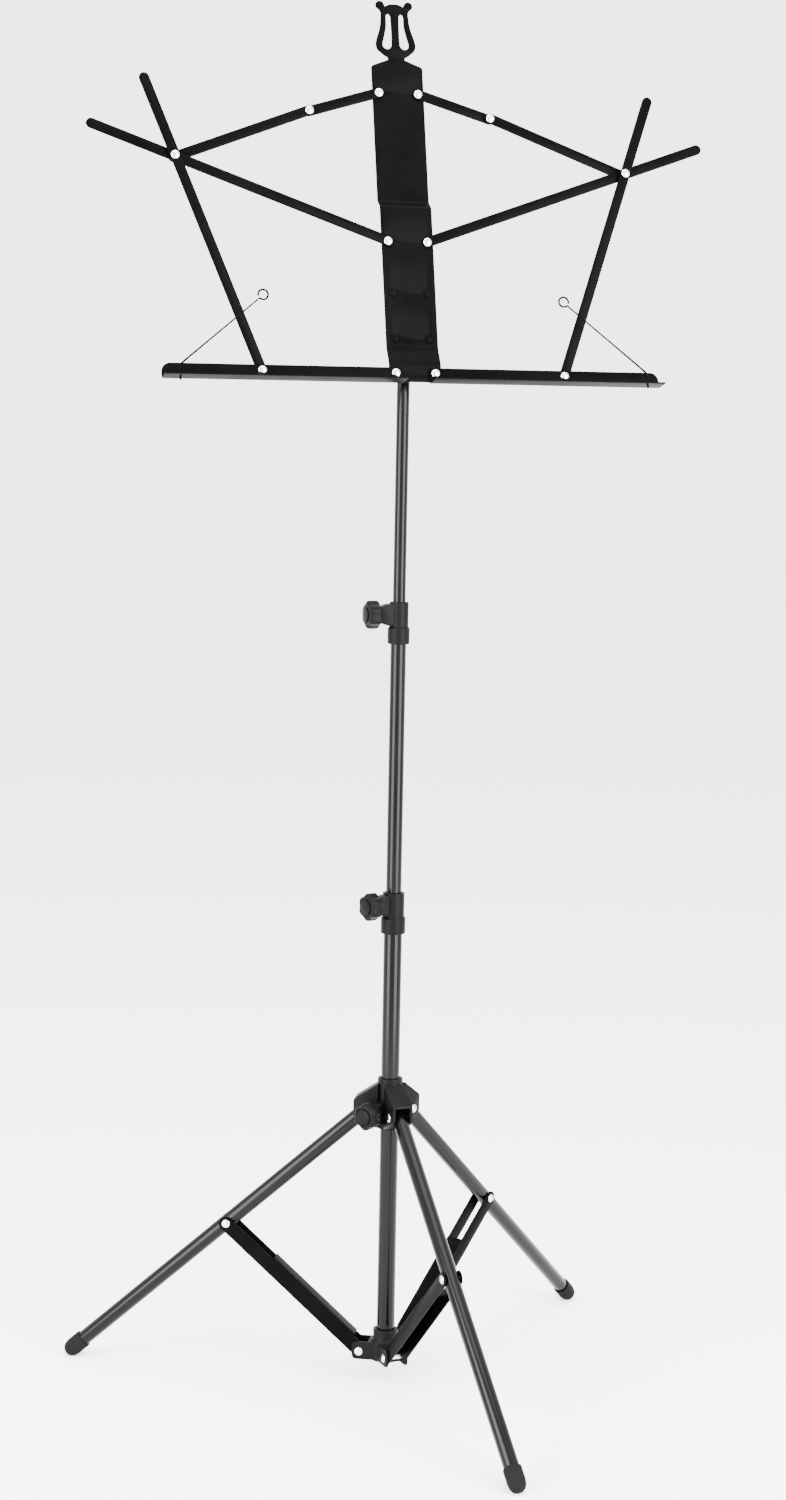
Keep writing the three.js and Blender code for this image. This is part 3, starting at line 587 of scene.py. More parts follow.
@dataclass(frozen=True)
class Finish:
    """A surface finish. Sizes in repeats per metre and metres, colours in linear light."""

    slot: str
    dark: Colour
    light: Colour
    roughness: float
    roughness_spread: float
    metallic: float = 0.0
    specular: float = 0.3
    grain: Grain = Grain.EVEN
    grain_per_metre: float = 900.0
    grain_depth: float = 0.00004
    grain_strength: float = 0.2
    mottle_per_metre: float = 28.0
    speck: float = 0.0

    def material(self) -> bpy.types.Material:
        """Builds the finish's material."""
        graph = Graph(self.slot)
        fine_scale = tuple(self.grain_per_metre * share for share in self.grain.value)
        broad_scale = (self.mottle_per_metre,) * 3
        fine = graph.noise(fine_scale, 3.0)
        broad = graph.noise(broad_scale, 5.0)
        specks = graph.noise((420.0,) * 3, 2.0, ((0.66, 0), (0.72, 1)))
        tone = broad * 0.6 + fine * 0.25 + specks * self.speck
        rough = self.roughness + self.roughness_spread * (broad * 0.7 + fine * 0.3 - 0.5)
        return graph.close(
            Base_Color=graph.mix(tone, self.dark, self.light),
            Roughness=rough,
            Metallic=self.metallic,
            Specular_IOR_Level=self.specular,
            Normal=graph.bump(fine, self.grain_strength, self.grain_depth),
        )


FINISHES = (
    Finish(
        "black_paint",
        (0.0005, 0.0005, 0.0006),
        (0.0016, 0.0016, 0.0018),
        0.36,
        0.14,
        specular=0.012,
        speck=0.12,
    ),
    Finish(
        "gloss_paint",
        (0.0005, 0.0005, 0.0006),
        (0.0013, 0.0013, 0.0016),
        0.16,
        0.07,
        specular=0.11,
        grain=Grain.DRAWN,
        grain_per_metre=700.0,
        grain_strength=0.08,
    ),
    Finish(
        "black_plastic",
        (0.0010, 0.0011, 0.0013),
        (0.0030, 0.0031, 0.0035),
        0.42,
        0.12,
        specular=0.04,
        grain_per_metre=1800.0,
        grain_strength=0.28,
    ),
    Finish(
        "rubber",
        (0.0016, 0.0016, 0.0016),
        (0.0045, 0.0044, 0.0042),
        0.72,
        0.14,
        specular=0.05,
        grain_per_metre=1500.0,
        grain_strength=0.35,
        speck=0.4,
    ),
    Finish(
        "nickel",
        (0.62, 0.61, 0.59),
        (0.80, 0.79, 0.77),
        0.17,
        0.10,
        metallic=1.0,
        grain_per_metre=1200.0,
        grain_strength=0.06,
        mottle_per_metre=160.0,
    ),
)


class Bench:
    """Sets finished pieces down in the frame, with their finish, body and CAD node."""

    def __init__(self, frame: dict) -> None:
        """Reads where the mast stands and what each node's body and slot are."""
        record = frame["record"]
        low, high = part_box("outer_tube")
        self.mast = Vector(((low.x + high.x) / 2, (low.y + high.y) / 2, 0))
        self.bodies = {n: b for b, members in record["behaviour"]["bodies"].items() for n in members}
        self.slots = {row["node"]: row["material_slot"] for row in record["subparts"]}
        self.materials = {finish.slot: finish.material() for finish in FINISHES}

    def put(self, node: str, solid: Solid, smooth_below: float = 32.0) -> None:
        """Sets a solid down in place of a CAD node.

        Args:
            node: The CAD node that it stands for.
            solid: Its mesh, in millimetres from the mast's foot.
            smooth_below: Edges that turn less than this many degrees are shaded smooth.
        """
        solid.at(Matrix.Translation(self.mast) @ Matrix.Scale(MM, 4))
        mesh = solid.mesh
        mesh.materials.clear()
        mesh.materials.append(self.materials[self.slots[node]])
        mesh.polygons.foreach_set("material_index", [0] * len(mesh.polygons))
        mesh.shade_smooth()
        mesh.set_sharp_from_angle(angle=math.radians(smooth_below))
        item = bpy.data.objects.new(f"fine_{node}", mesh)
        bpy.context.scene.collection.objects.link(item)
        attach(item, self.bodies[node])
        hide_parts(node)
        LOG.info("%s: %d faces, rides on %s", item.name, len(mesh.polygons), self.bodies[node])


# ------------------------------------------------------------------ rivets
@dataclass(frozen=True)
class Rivets:
    """Domed rivets, all of one size."""

    shank: float = 2.0
    head: float = 4.3
    height: float = 1.7
    tail: float = 3.6
    tail_height: float = 0.8
    rim: float = 0.25
    steps: int = 9

    def dome(self, base: float) -> Profile:
        """The head's profile, from its rim to the axis."""
        ring = arc((0, 0), 1.0, 12, 90, self.steps)
        widest, lowest = ring[0]
        crown = self.height - self.rim
        made = [(self.head, base)]
        made += [
            (self.head * x / widest, base + self.rim + crown * (y - lowest) / (1 - lowest))
            for x, y in ring
        ]
        made[-1] = (0.0, base + self.height)
        return made

    def along(self, low: float, high: float, tailed: bool = True, collars: Sequence[Point2] = ()) -> Solid:
        """A rivet along Z.

        Args:
            low: Underside of what it holds.
            high: Underside of its head.
            tailed: Whether it has a flat tail under low.
            collars: Stretches where a washer fills a gap between the bars.

        Returns:
            The rivet.
        """
        start: Profile = [(0.0, low)]
        if tailed:
            under = low - self.tail_height
            start = [(0.0, under), (self.tail - 0.3, under), (self.tail, under + 0.3), (self.tail, low)]
        washers = [
            point
            for bottom, top in collars
            for point in ((self.shank, bottom), (self.tail, bottom), (self.tail, top), (self.shank, top))
        ]
        return Solid.lathe([*start, (self.shank, low), *washers, (self.shank, high), *self.dome(high)], 40)

    def through(self, half_grip: float, reach: float, z: float) -> Solid:
        """A rivet along Y with a dome on both ends, at a reach and height."""
        high = self.dome(half_grip)
        low = [(r, -h) for r, h in reversed(high)]
        profile = [*low, (self.shank, -half_grip), (self.shank, half_grip), *high]
        return Solid.lathe(profile, 40).at(shift(reach, 0, z) @ UPRIGHT)


RIVETS = Rivets()


# ------------------------------------------------------------------ knobs
@dataclass(frozen=True)
class ClampScrew:
    """A fluted plastic knob with its screw, and the boss that the screw runs in."""

    radius: float = 14.5
    thick: float = 14.0
    lobes: int = 6
    flute: float = 1.9
    screw: float = 3.0
    cap: float = 8.0
    boss_height: float = 22.0
    boss_width: float = 12.0

    def knob(self, tip: float, face: float) -> Solid:
        """The knob and its screw, pointing along X.

        Args:
            tip: Mast axis to the screw's end.
            face: Mast axis to the knob's inner face.

        Returns:
            The solid.
        """
        front = face + self.thick
        r, cap = self.radius, self.cap
        rings = [
            (0.0, tip, 0.0),
            (self.screw, tip, 0.0),
            (self.screw, face, 0.0),
            (r - 4.0, face, 0.6),
            (r - 1.6, face + 0.35, 0.9),
            (r - 0.5, face + 1.2, 1.0),
            (r, face + 2.6, 1.0),
            (r, front - 3.4, 1.0),
            (r - 0.4, front - 1.9, 1.0),
            (r - 1.3, front - 0.8, 0.95),
            (r - 2.6, front - 0.15, 0.8),
            (r - 3.8, front, 0.45),
            (cap + 1.3, front - 0.2, 0.1),
            (cap + 0.7, front - 0.9, 0.0),
            (cap, front - 0.9, 0.0),
            (cap, front + 0.5, 0.0),
            (cap - 0.5, front + 1.2, 0.0),
            (cap - 1.5, front + 1.55, 0.0),
            (0.0, front + 1.6, 0.0),
        ]
        return Solid.lobed(rings, self.lobes, self.flute).at(POINTING)

    def boss(self, reach: float, azimuth: float, z: float) -> Solid:
        """The boss round the screw, which narrows towards the knob."""
        half = self.boss_height / 2
        corners = [
            (2.0, -half),
            (reach - 8, -half),
            (reach, -half + 3),
            (reach, half - 3),
            (reach - 8, half),
            (2.0, half),
        ]
        shape = upright(rounded(corners, 2.0), self.boss_width / 2, edge=1.0)
        return shape.at(shift(0, 0, z)).at(about_z(azimuth))


SCREW = ClampScrew()


# ------------------------------------------------------------------ mast
@dataclass
class Mast:
    """Three telescoping tubes and the two clamps that lock them."""

    outer: float = 9.5
    slack: float = 0.5
    outer_bottom: float = 24.0
    outer_top: float = 490.0
    mid_bottom: float = 285.0
    mid_top: float = 791.0
    upper_bottom: float = 560.0
    upper_top: float = 1089.7
    sleeve: float = 17.0
    body: float = 26.0
    clamp_wall: float = 3.0
    grip: float = 14.0
    knob_at: float = 22.0
    lower_azimuth: float = 201.0
    upper_azimuth: float = 184.0
    mid: float = field(init=False)
    upper: float = field(init=False)

    def __post_init__(self) -> None:
        """Works out the thinner tubes."""
        self.mid = self.outer - WALL - self.slack
        self.upper = self.mid - WALL - self.slack

    def clamp(self, tube_r: float, inner_r: float, bottom: float, azimuth: float) -> Solid:
        """A clamp: a sleeve on the tube below, a body round the thinner tube, and a boss.

        Args:
            tube_r: Radius of the tube that the sleeve grips.
            inner_r: Radius of the tube that slides in the body.
            bottom: Height of its lower edge.
            azimuth: Where its boss points, in degrees.

        Returns:
            The solid.
        """
        step = bottom + self.sleeve
        top = step + self.body
        outside = tube_r + GAP + self.clamp_wall
        neck = inner_r + GAP + self.clamp_wall
        bore = inner_r + GAP
        seat = bottom + self.grip + GAP
        corners = [
            (tube_r + GAP, bottom),
            (outside, bottom),
            (outside, step - 1),
            (neck, step + 1),
            (neck, top),
            (bore, top),
            (bore, seat),
            (tube_r + GAP, seat),
        ]
        profile = rounded(corners, 0.9)
        shell = Solid.lathe([*profile, profile[0]], 96)
        middle = step + self.body / 2
        boss = SCREW.boss(self.knob_at - GAP, azimuth, middle)
        bore_tool = rod(bore, step + 1.5, top + 2, segments=96)
        return shell.plus(boss).minus(bore_tool)

    def build(self, bench: Bench) -> None:
        """Makes and dresses the tubes, clamps and knobs."""
        bench.put("outer_tube", tube(self.outer, self.outer - WALL, self.outer_bottom, self.outer_top))
        bench.put("mid_tube", tube(self.mid, self.mid - WALL, self.mid_bottom, self.mid_top))
        bench.put("upper_tube", tube(self.upper, self.upper - WALL, self.upper_bottom, self.upper_top))
        places = (
            ("lower_clamp", self.outer, self.mid, self.outer_top, self.lower_azimuth),
            ("upper_clamp", self.mid, self.upper, self.mid_top, self.upper_azimuth),
        )
        for name, outside, inside, tube_top, azimuth in places:
            bottom = tube_top - self.grip
            bench.put(name, self.clamp(outside, inside, bottom, azimuth))
            knob = SCREW.knob(inside + GAP, self.knob_at)
            lift = shift(0, 0, bottom + self.sleeve + self.body / 2)
            bench.put(f"{name}_knob", knob.at(lift @ about_z(azimuth)))


# ------------------------------------------------------------------ tripod
@dataclass
class Tripod:
    """Three folding legs with their braces, the sliding collar and the bottom hub."""

    mast_tube: float = 9.5
    first_azimuth: float = 36.0
    leg: float = 8.0
    foot_reach: float = 339.0
    foot_z: float = 8.0
    pin_reach: float = 26.5
    leg_pin_z: float = 286.4
    brace_pin_z: float = 28.7
    overrun: float = 8.0
    foot_r: float = 9.0
    foot_grip: float = 17.0
    brace_sheet: float = 1.2
    brace_end: float = 7.5
    web_from: float = 15.0
    web_share: float = 0.68
    collar_bottom: float = 269.0
    collar_top: float = 323.0
    collar_wall: float = 3.2
    collar_cheek: float = 3.0
    collar_lug: float = 37.0
    collar_knob_at: float = 30.0
    collar_knob_z: float = 288.0
    hub_bottom: float = 19.0
    hub_top: float = 52.0
    hub_core: float = 13.0
    hub_cheek: float = 2.6
    hub_lug: float = 34.0
    hub_lug_top: float = 39.0

    def __post_init__(self) -> None:
        """Works out the leg's line and the widths that fit round it."""
        line = Vector((self.foot_reach - self.pin_reach, self.leg_pin_z - self.foot_z))
        self.length = line.length
        self.lean = math.atan2(line.x, line.y)
        self.rivet_z = (self.leg_pin_z + self.brace_pin_z) / 2
        self.brace_length = (self.leg_pin_z - self.rivet_z) / math.cos(self.lean)
        self.rivet_reach = self.pin_reach + self.brace_length * math.sin(self.lean)
        self.leg_gap = self.leg + GAP
        self.channel = self.leg_gap + self.brace_sheet
        self.collar_face = self.leg_gap + self.collar_cheek
        self.hub_slot = self.channel + GAP
        self.hub_face = self.hub_slot + self.hub_cheek
        self.bore = self.mast_tube + GAP
        self.azimuths = [self.first_azimuth + i * 360 / LEG_COUNT for i in range(LEG_COUNT)]

    def leg_tube(self) -> Solid:
        """A leg, leaning in from its foot."""
        made = tube(self.leg, self.leg - WALL, 0, self.length + self.overrun)
        lean = Matrix.Rotation(-self.lean, 4, "Y")
        return made.at(shift(self.foot_reach, 0, self.foot_z) @ lean)

    def foot(self) -> Solid:
        """A rubber boot on the leg's end, flat where it meets the floor."""
        cuff = self.foot_r + 0.5
        chamfer = 0.8
        ball = arc((0, 0), self.foot_r, -90, -4, 16)
        profile = [(0.0, ball[0][1]), *ball[1:], (cuff, 2.0), (cuff, self.foot_grip - chamfer)]
        profile += [(cuff - chamfer, self.foot_grip), (self.leg_gap, self.foot_grip)]
        profile += [(self.leg_gap, -GAP), (0.0, -GAP)]
        boot = Solid.lathe(profile, 64).at(Matrix.Rotation(-self.lean, 4, "Y"))
        boot.at(shift(self.foot_reach, 0, self.foot_z))
        for vertex in boot.mesh.vertices:
            vertex.co.z = max(vertex.co.z, 0.0)
        return boot

    def brace(self) -> Solid:
        """A folded-sheet brace: two walls with round ends, joined by a web."""
        bend = 0.8
        flat = self.leg_gap - bend
        turn = math.pi / 2 * (bend + self.brace_sheet / 2)
        inner = flat + turn + self.leg_gap - self.brace_end - bend
        outer = inner + 2 * self.brace_end
        middle = (inner + outer) / 2
        web_end = self.brace_length * self.web_share
        right = [
            (inner, self.web_from),
            *arc((middle, 0), self.brace_end, 180, 360, 20),
            *arc((middle, self.brace_length), self.brace_end, 0, 180, 20),
            (inner, web_end),
        ]
        left = [(-s, z) for s, z in reversed(right)]
        blank = Solid.sheet([*right, *left], 0, self.brace_sheet, edge=0.2)

        def fold(point: Vector) -> Vector:
            """Turns the blank's sides up round the leg."""
            across, along, thick = point
            side = math.copysign(1, across)
            past = abs(across) - flat
            if past <= 0:
                return Vector((-self.leg_gap - thick, across, along))
            angle = min(past / turn, 1.0) * math.pi / 2
            reach = bend + thick
            x = -self.leg_gap + bend - reach * math.cos(angle) + max(past - turn, 0)
            return Vector((x, side * (flat + reach * math.sin(angle)), along))

        folds = [side * (flat + part) for part in span(0, turn, 6) for side in (-1, 1)]
        made = blank.bent(Vector((1, 0, 0)), folds, fold)
        lean = Matrix.Rotation(self.lean, 4, "Y")
        return made.at(shift(self.pin_reach, 0, self.brace_pin_z) @ lean)

    def collar(self) -> Solid:
        """The sliding collar: a sleeve, a hooded pair of cheeks for each leg, and a boss."""
        neck = self.bore + self.collar_wall
        low, top = self.collar_bottom, self.collar_top
        hood_in, hood_out = top - 5, self.leg_pin_z + 14
        lug = [
            (self.bore + 1, low + 1),
            (self.collar_lug - 9, self.leg_pin_z - 11),
            (self.collar_lug, self.leg_pin_z - 4),
            (self.collar_lug, hood_out),
            (self.bore + 1, hood_in),
        ]
        slot = [
            (neck + 0.4, low - 10),
            (self.collar_lug + 3, low - 10),
            (self.collar_lug + 3, hood_out - 4.6),
            (neck + 0.4, hood_in - 4.2),
        ]
        corners = [(self.bore, low), (neck, low), (neck, top), (self.bore, top)]
        profile = rounded(corners, 1.2)
        sleeve = Solid.lathe([*profile, profile[0]], 96)
        lugs = [upright(rounded(lug, 2.5), self.collar_face, 0.9).at(about_z(a)) for a in self.azimuths]
        slots = [upright(slot, self.leg_gap, 0.0).at(about_z(a)) for a in self.azimuths]
        boss = SCREW.boss(self.collar_knob_at - GAP, self.first_azimuth + 180, self.collar_knob_z)
        bore = rod(self.bore, low - 2, top + 2, segments=96)
        return sleeve.plus(*lugs).minus(*slots).plus(boss).minus(bore)

    def hub(self) -> Solid:
        """The bottom hub: a cup for the mast, with a pair of cheeks for each brace."""
        low, top = self.hub_bottom, self.hub_top
        lug = [
            (self.hub_core - 5, low + 1),
            (self.hub_lug, low + 1),
            (self.hub_lug, self.hub_lug_top),
            (self.hub_core - 5, self.hub_lug_top),
        ]
        corners = [
            (0.0, low),
            (self.hub_core + 3, low),
            (self.hub_core + 3, self.hub_lug_top),
            (self.hub_core, self.hub_lug_top + 3),
            (self.hub_core, top),
            (0.0, top),
        ]
        core = Solid.lathe(rounded(corners, 1.2, closed=False), 96)
        lugs = [upright(rounded(lug, 5.0), self.hub_face, 0.8).at(about_z(a)) for a in self.azimuths]
        slot_from = self.pin_reach - self.brace_end - 2
        slots = [
            box((slot_from, -self.hub_slot, low - 2), (60, self.hub_slot, top + 2)).at(about_z(a))
            for a in self.azimuths
        ]
        cup = rod(self.bore, low + 5 - GAP, top + 2, segments=96)
        return core.plus(*lugs).minus(*slots, cup)

    def build(self, bench: Bench) -> None:
        """Makes and dresses the hub, collar, knob, legs, braces, feet, pins and rivets."""
        bench.put("bottom_hub", self.hub())
        bench.put("leg_collar", self.collar())
        knob = SCREW.knob(self.bore, self.collar_knob_at)
        place = shift(0, 0, self.collar_knob_z) @ about_z(self.first_azimuth + 180)
        bench.put("leg_collar_knob", knob.at(place))
        for index, azimuth in enumerate(self.azimuths, start=1):
            pieces = {
                f"leg_{index}": self.leg_tube(),
                f"foot_{index}": self.foot(),
                f"brace_{index}": self.brace(),
                f"leg_pin_{index}": RIVETS.through(self.collar_face + GAP, self.pin_reach, self.leg_pin_z),
                f"brace_pin_{index}": RIVETS.through(self.hub_face + GAP, self.pin_reach, self.brace_pin_z),
                f"leg_rivet_{index}": RIVETS.through(self.channel + GAP, self.rivet_reach, self.rivet_z),
            }
            for node, solid in pieces.items():
                bench.put(node, solid.at(about_z(azimuth)))


# ------------------------------------------------------------------ desk
@dataclass(frozen=True)
class Layers:
    """Heights of the desk's layers above the plate's back stretch, each above the one before."""

    inner_stay: float = GAP
    head: float = 1.7
    tail: float = 0.8

    @property
    def stay_head(self) -> float:
        """Under the stay pivot's head."""
        return self.inner_stay + SHEET + GAP

    @property
    def outer_stay(self) -> float:
        """Back of the outer stay."""
        return self.stay_head + self.head + GAP

    @property
    def elbow_head(self) -> float:
        """Under the elbow rivet's head."""
        return self.outer_stay + SHEET + GAP

    @property
    def lower_bar(self) -> float:
        """Back of the lower bar."""
        return self.elbow_head + self.head + GAP

    @property
    def middle(self) -> float:
        """Front of the plate's middle stretch."""
        return self.lower_bar - GAP

    @property
    def bar_head(self) -> float:
        """Under the bar pivot's head."""
        return self.lower_bar + SHEET + GAP

    @property
    def outer_bar(self) -> float:
        """Back of the outer bar."""
        return self.bar_head + self.head + GAP + self.tail

    @property
    def flange(self) -> float:
        """Back of the ledge's flange."""
        return self.outer_bar + SHEET + GAP

    @property
    def low(self) -> float:
        """Front of the plate's lowest stretch."""
        return self.flange - GAP

    @property
    def ledge_head(self) -> float:
        """Under the heads of the ledge's rivets."""
        return self.flange + SHEET + GAP


LAYERS = Layers()


@dataclass
class Linkage:
    """The pivots of one half of the desk, in the desk's own frame."""

    pivot_u: float = 20.5
    pin_v: float = 99.0
    kite_short: float = 136.5
    kite_long: float = 229.0
    stay_v: float = 255.0
    kink: float = 3.6

    def __post_init__(self) -> None:
        """Works out where the bars cross and where the stays bend."""
        self.ledge_pin = Vector((self.pivot_u, self.pin_v - self.kite_short))
        self.bar_pin = Vector((self.pivot_u, self.pin_v))
        self.outer_pin = Vector((self.pivot_u + self.kite_short, self.ledge_pin.y))
        half = self.kite_short / math.sqrt(2)
        rise = math.sqrt(self.kite_long**2 - half**2)
        self.crossing = self.ledge_pin + Vector((1, 1)) * ((half + rise) / math.sqrt(2))
        self.stay_pin = Vector((self.pivot_u, self.stay_v))
        line = self.crossing - self.stay_pin
        folded = self.pin_v + self.kite_long - self.stay_v
        along = line.normalized() * ((line.length - folded) / 2)
        off = Vector((-line.y, line.x)).normalized() * self.kink
        self.elbow = self.stay_pin + along + off


@dataclass
class DeskPlate:
    """The centre plate: one stamping with a lyre on top and stretches that step forward."""

    half: float = 27.0
    bottom: float = -46.0
    shoulder: float = 284.0
    top: float = 352.0
    low_step: Point2 = (-30.0, -8.0)
    high_step: Point2 = (134.0, 144.0)
    hole: float = 2.3

    def edge(self, side: int) -> Profile:
        """Half of the lyre's edge, from the shoulder to the middle of the top.

        Args:
            side: 1 on the right, -1 on the left.

        Returns:
            The points in order.
        """
        base = self.shoulder
        bow = [(8.8, 8.6), (14, 12), (19.6, 17), (20.9, 22.5)]
        bow += [(19.6, 29), (16.4, 38.5), (14.8, 48), (14.4, 56)]
        crown = [(9.4, -5.6), (6.5, -3.9), (3.2, -3.1), (0, -2.9)]
        horn = arc((15, self.top - 4.5), 4.5, -75, 141, 14)
        points = [(self.half, base - 2), (self.half - 1.4, base), (8.8, base + 6.6)]
        points += spline([(u, base + v) for u, v in bow], 36)
        points += horn + spline([(u, self.top + v) for u, v in crown], 10)
        return [(side * u, v) for u, v in points]

    def slot(self, side: int) -> Profile:
        """One opening of the lyre, on the side that is given."""
        points = [
            (4.4, 52), (6.6, 54.6), (9, 52), (9.3, 42), (11.6, 31), (13.6, 23.5),
            (12.8, 19.4), (9, 17.6), (5.6, 19.4), (4.2, 24), (4.1, 38), (4.4, 52),
        ]
        loop = spline([(side * u, self.shoulder + v) for u, v in points], 66)
        return loop[:-1]

    def ahead(self, v: float) -> float:
        """How far the plate's front stands ahead at a height."""
        drop = LAYERS.low - LAYERS.middle
        low = LAYERS.low - drop * ease(self.low_step[0], self.low_step[1], v)
        return low - LAYERS.middle * ease(self.high_step[0], self.high_step[1], v)

    def solid(self, holes: Iterable[Point2]) -> Solid:
        """The plate.

        Args:
            holes: Places of its rivet holes.

        Returns:
            The solid, in the desk's frame.
        """
        corner = 3.0
        half, bottom = self.half, self.bottom
        foot = arc((half - corner, bottom + corner), corner, -90, 0, 6)
        right = foot + self.edge(1)
        left = [(-u, v) for u, v in reversed(right)][1:]
        openings = [self.slot(1), self.slot(-1), *(arc(c, self.hole, 0, 345, 23) for c in holes)]
        made = Solid.sheet([*right, *left], -SHEET, 0, openings, edge=0.25)
        lines = span(*self.low_step, 10) + span(*self.high_step, 10)

        def step(point: Vector) -> Vector:
            """Moves a point of the flat blank ahead."""
            return point + Vector((0, 0, self.ahead(point.y)))

        return made.bent(Vector((0, 1, 0)), lines, step)


@dataclass
class Ledge:
    """Half of the ledge: a flange riveted to the bars, and a shelf that carries the music."""

    inner: float = 14.0
    end: float = 258.0
    rise: float = 5.6
    drop: float = 10.5
    depth: float = 22.6
    bend: float = 1.2
    corner: float = 9.0

    def solid(self, pin_v: float) -> Solid:
        """The bent ledge, in the desk's frame, for the right half.

        Args:
            pin_v: Height of the rivets that hold it.

        Returns:
            The solid.
        """
        top = pin_v + self.rise
        bottom = pin_v - self.drop
        front = LAYERS.flange + SHEET
        fold_v, fold_n = bottom + SHEET + self.bend, front + self.bend
        flange = top - fold_v
        turn = math.pi / 2 * (self.bend + SHEET / 2)
        shelf = self.depth - SHEET - self.bend
        low = -(flange + turn + shelf)
        outline = [
            (self.inner, low),
            *arc((self.end - 2, low + 2), 2, -90, 0, 5),
            *arc((self.end - self.corner, -self.corner), self.corner, 0, 90, 12),
            (self.inner, 0),
        ]
        blank = Solid.sheet(outline, -SHEET, 0, edge=0.3)

        def fold(point: Vector) -> Vector:
            """Bends the shelf forward."""
            along, thick = -point.y, -point.z
            if along <= flange:
                return Vector((point.x, top - along, front - thick))
            angle = min((along - flange) / turn, 1.0) * math.pi / 2
            reach = self.bend + thick
            past = max(along - flange - turn, 0.0)
            v = fold_v - reach * math.sin(angle)
            return Vector((point.x, v, fold_n - reach * math.cos(angle) + past))

        lines = [-(flange + part) for part in span(0, turn, 8)]
        return blank.bent(Vector((0, 1, 0)), lines, fold)


@dataclass
class Retainer:
    """Bent wire that keeps the pages open: a stub, an arm that leans inwards, and an eye."""

    place_u: float = 241.5
    ahead: float = 12.0
    stagger: float = 3.0
    wire: float = 1.0
    rise: float = 12.0
    run: float = 86.0
    climb: float = 72.0
    eye: float = 5.0
    ledge_drop: float = 10.5

    def solid(self) -> Solid:
        """The wire, standing on its stub's axis at the height of the ledge's rivets."""
        knee = Vector((0, self.rise - self.ledge_drop, 0))
        reach = math.hypot(self.run, self.climb)
        along = Vector((-self.run, self.climb, 0)) / reach
        off = Vector((along.y, -along.x, 0))
        bend = 5.0
        first, last = knee - Vector((0, bend, 0)), knee + along * bend
        points = [Vector((0, -self.ledge_drop - 3, 0))]
        for t in span(0, 1, 10):
            points.append(first * (1 - t) ** 2 + knee * (2 * t * (1 - t)) + last * t**2)
        centre = knee + along * reach
        for angle in span(-175, 155, 40):
            a = math.radians(angle)
            ring = centre + (along * math.cos(a) + off * math.sin(a)) * self.eye
            points.append(ring)
        return Solid.wire(points, self.wire)


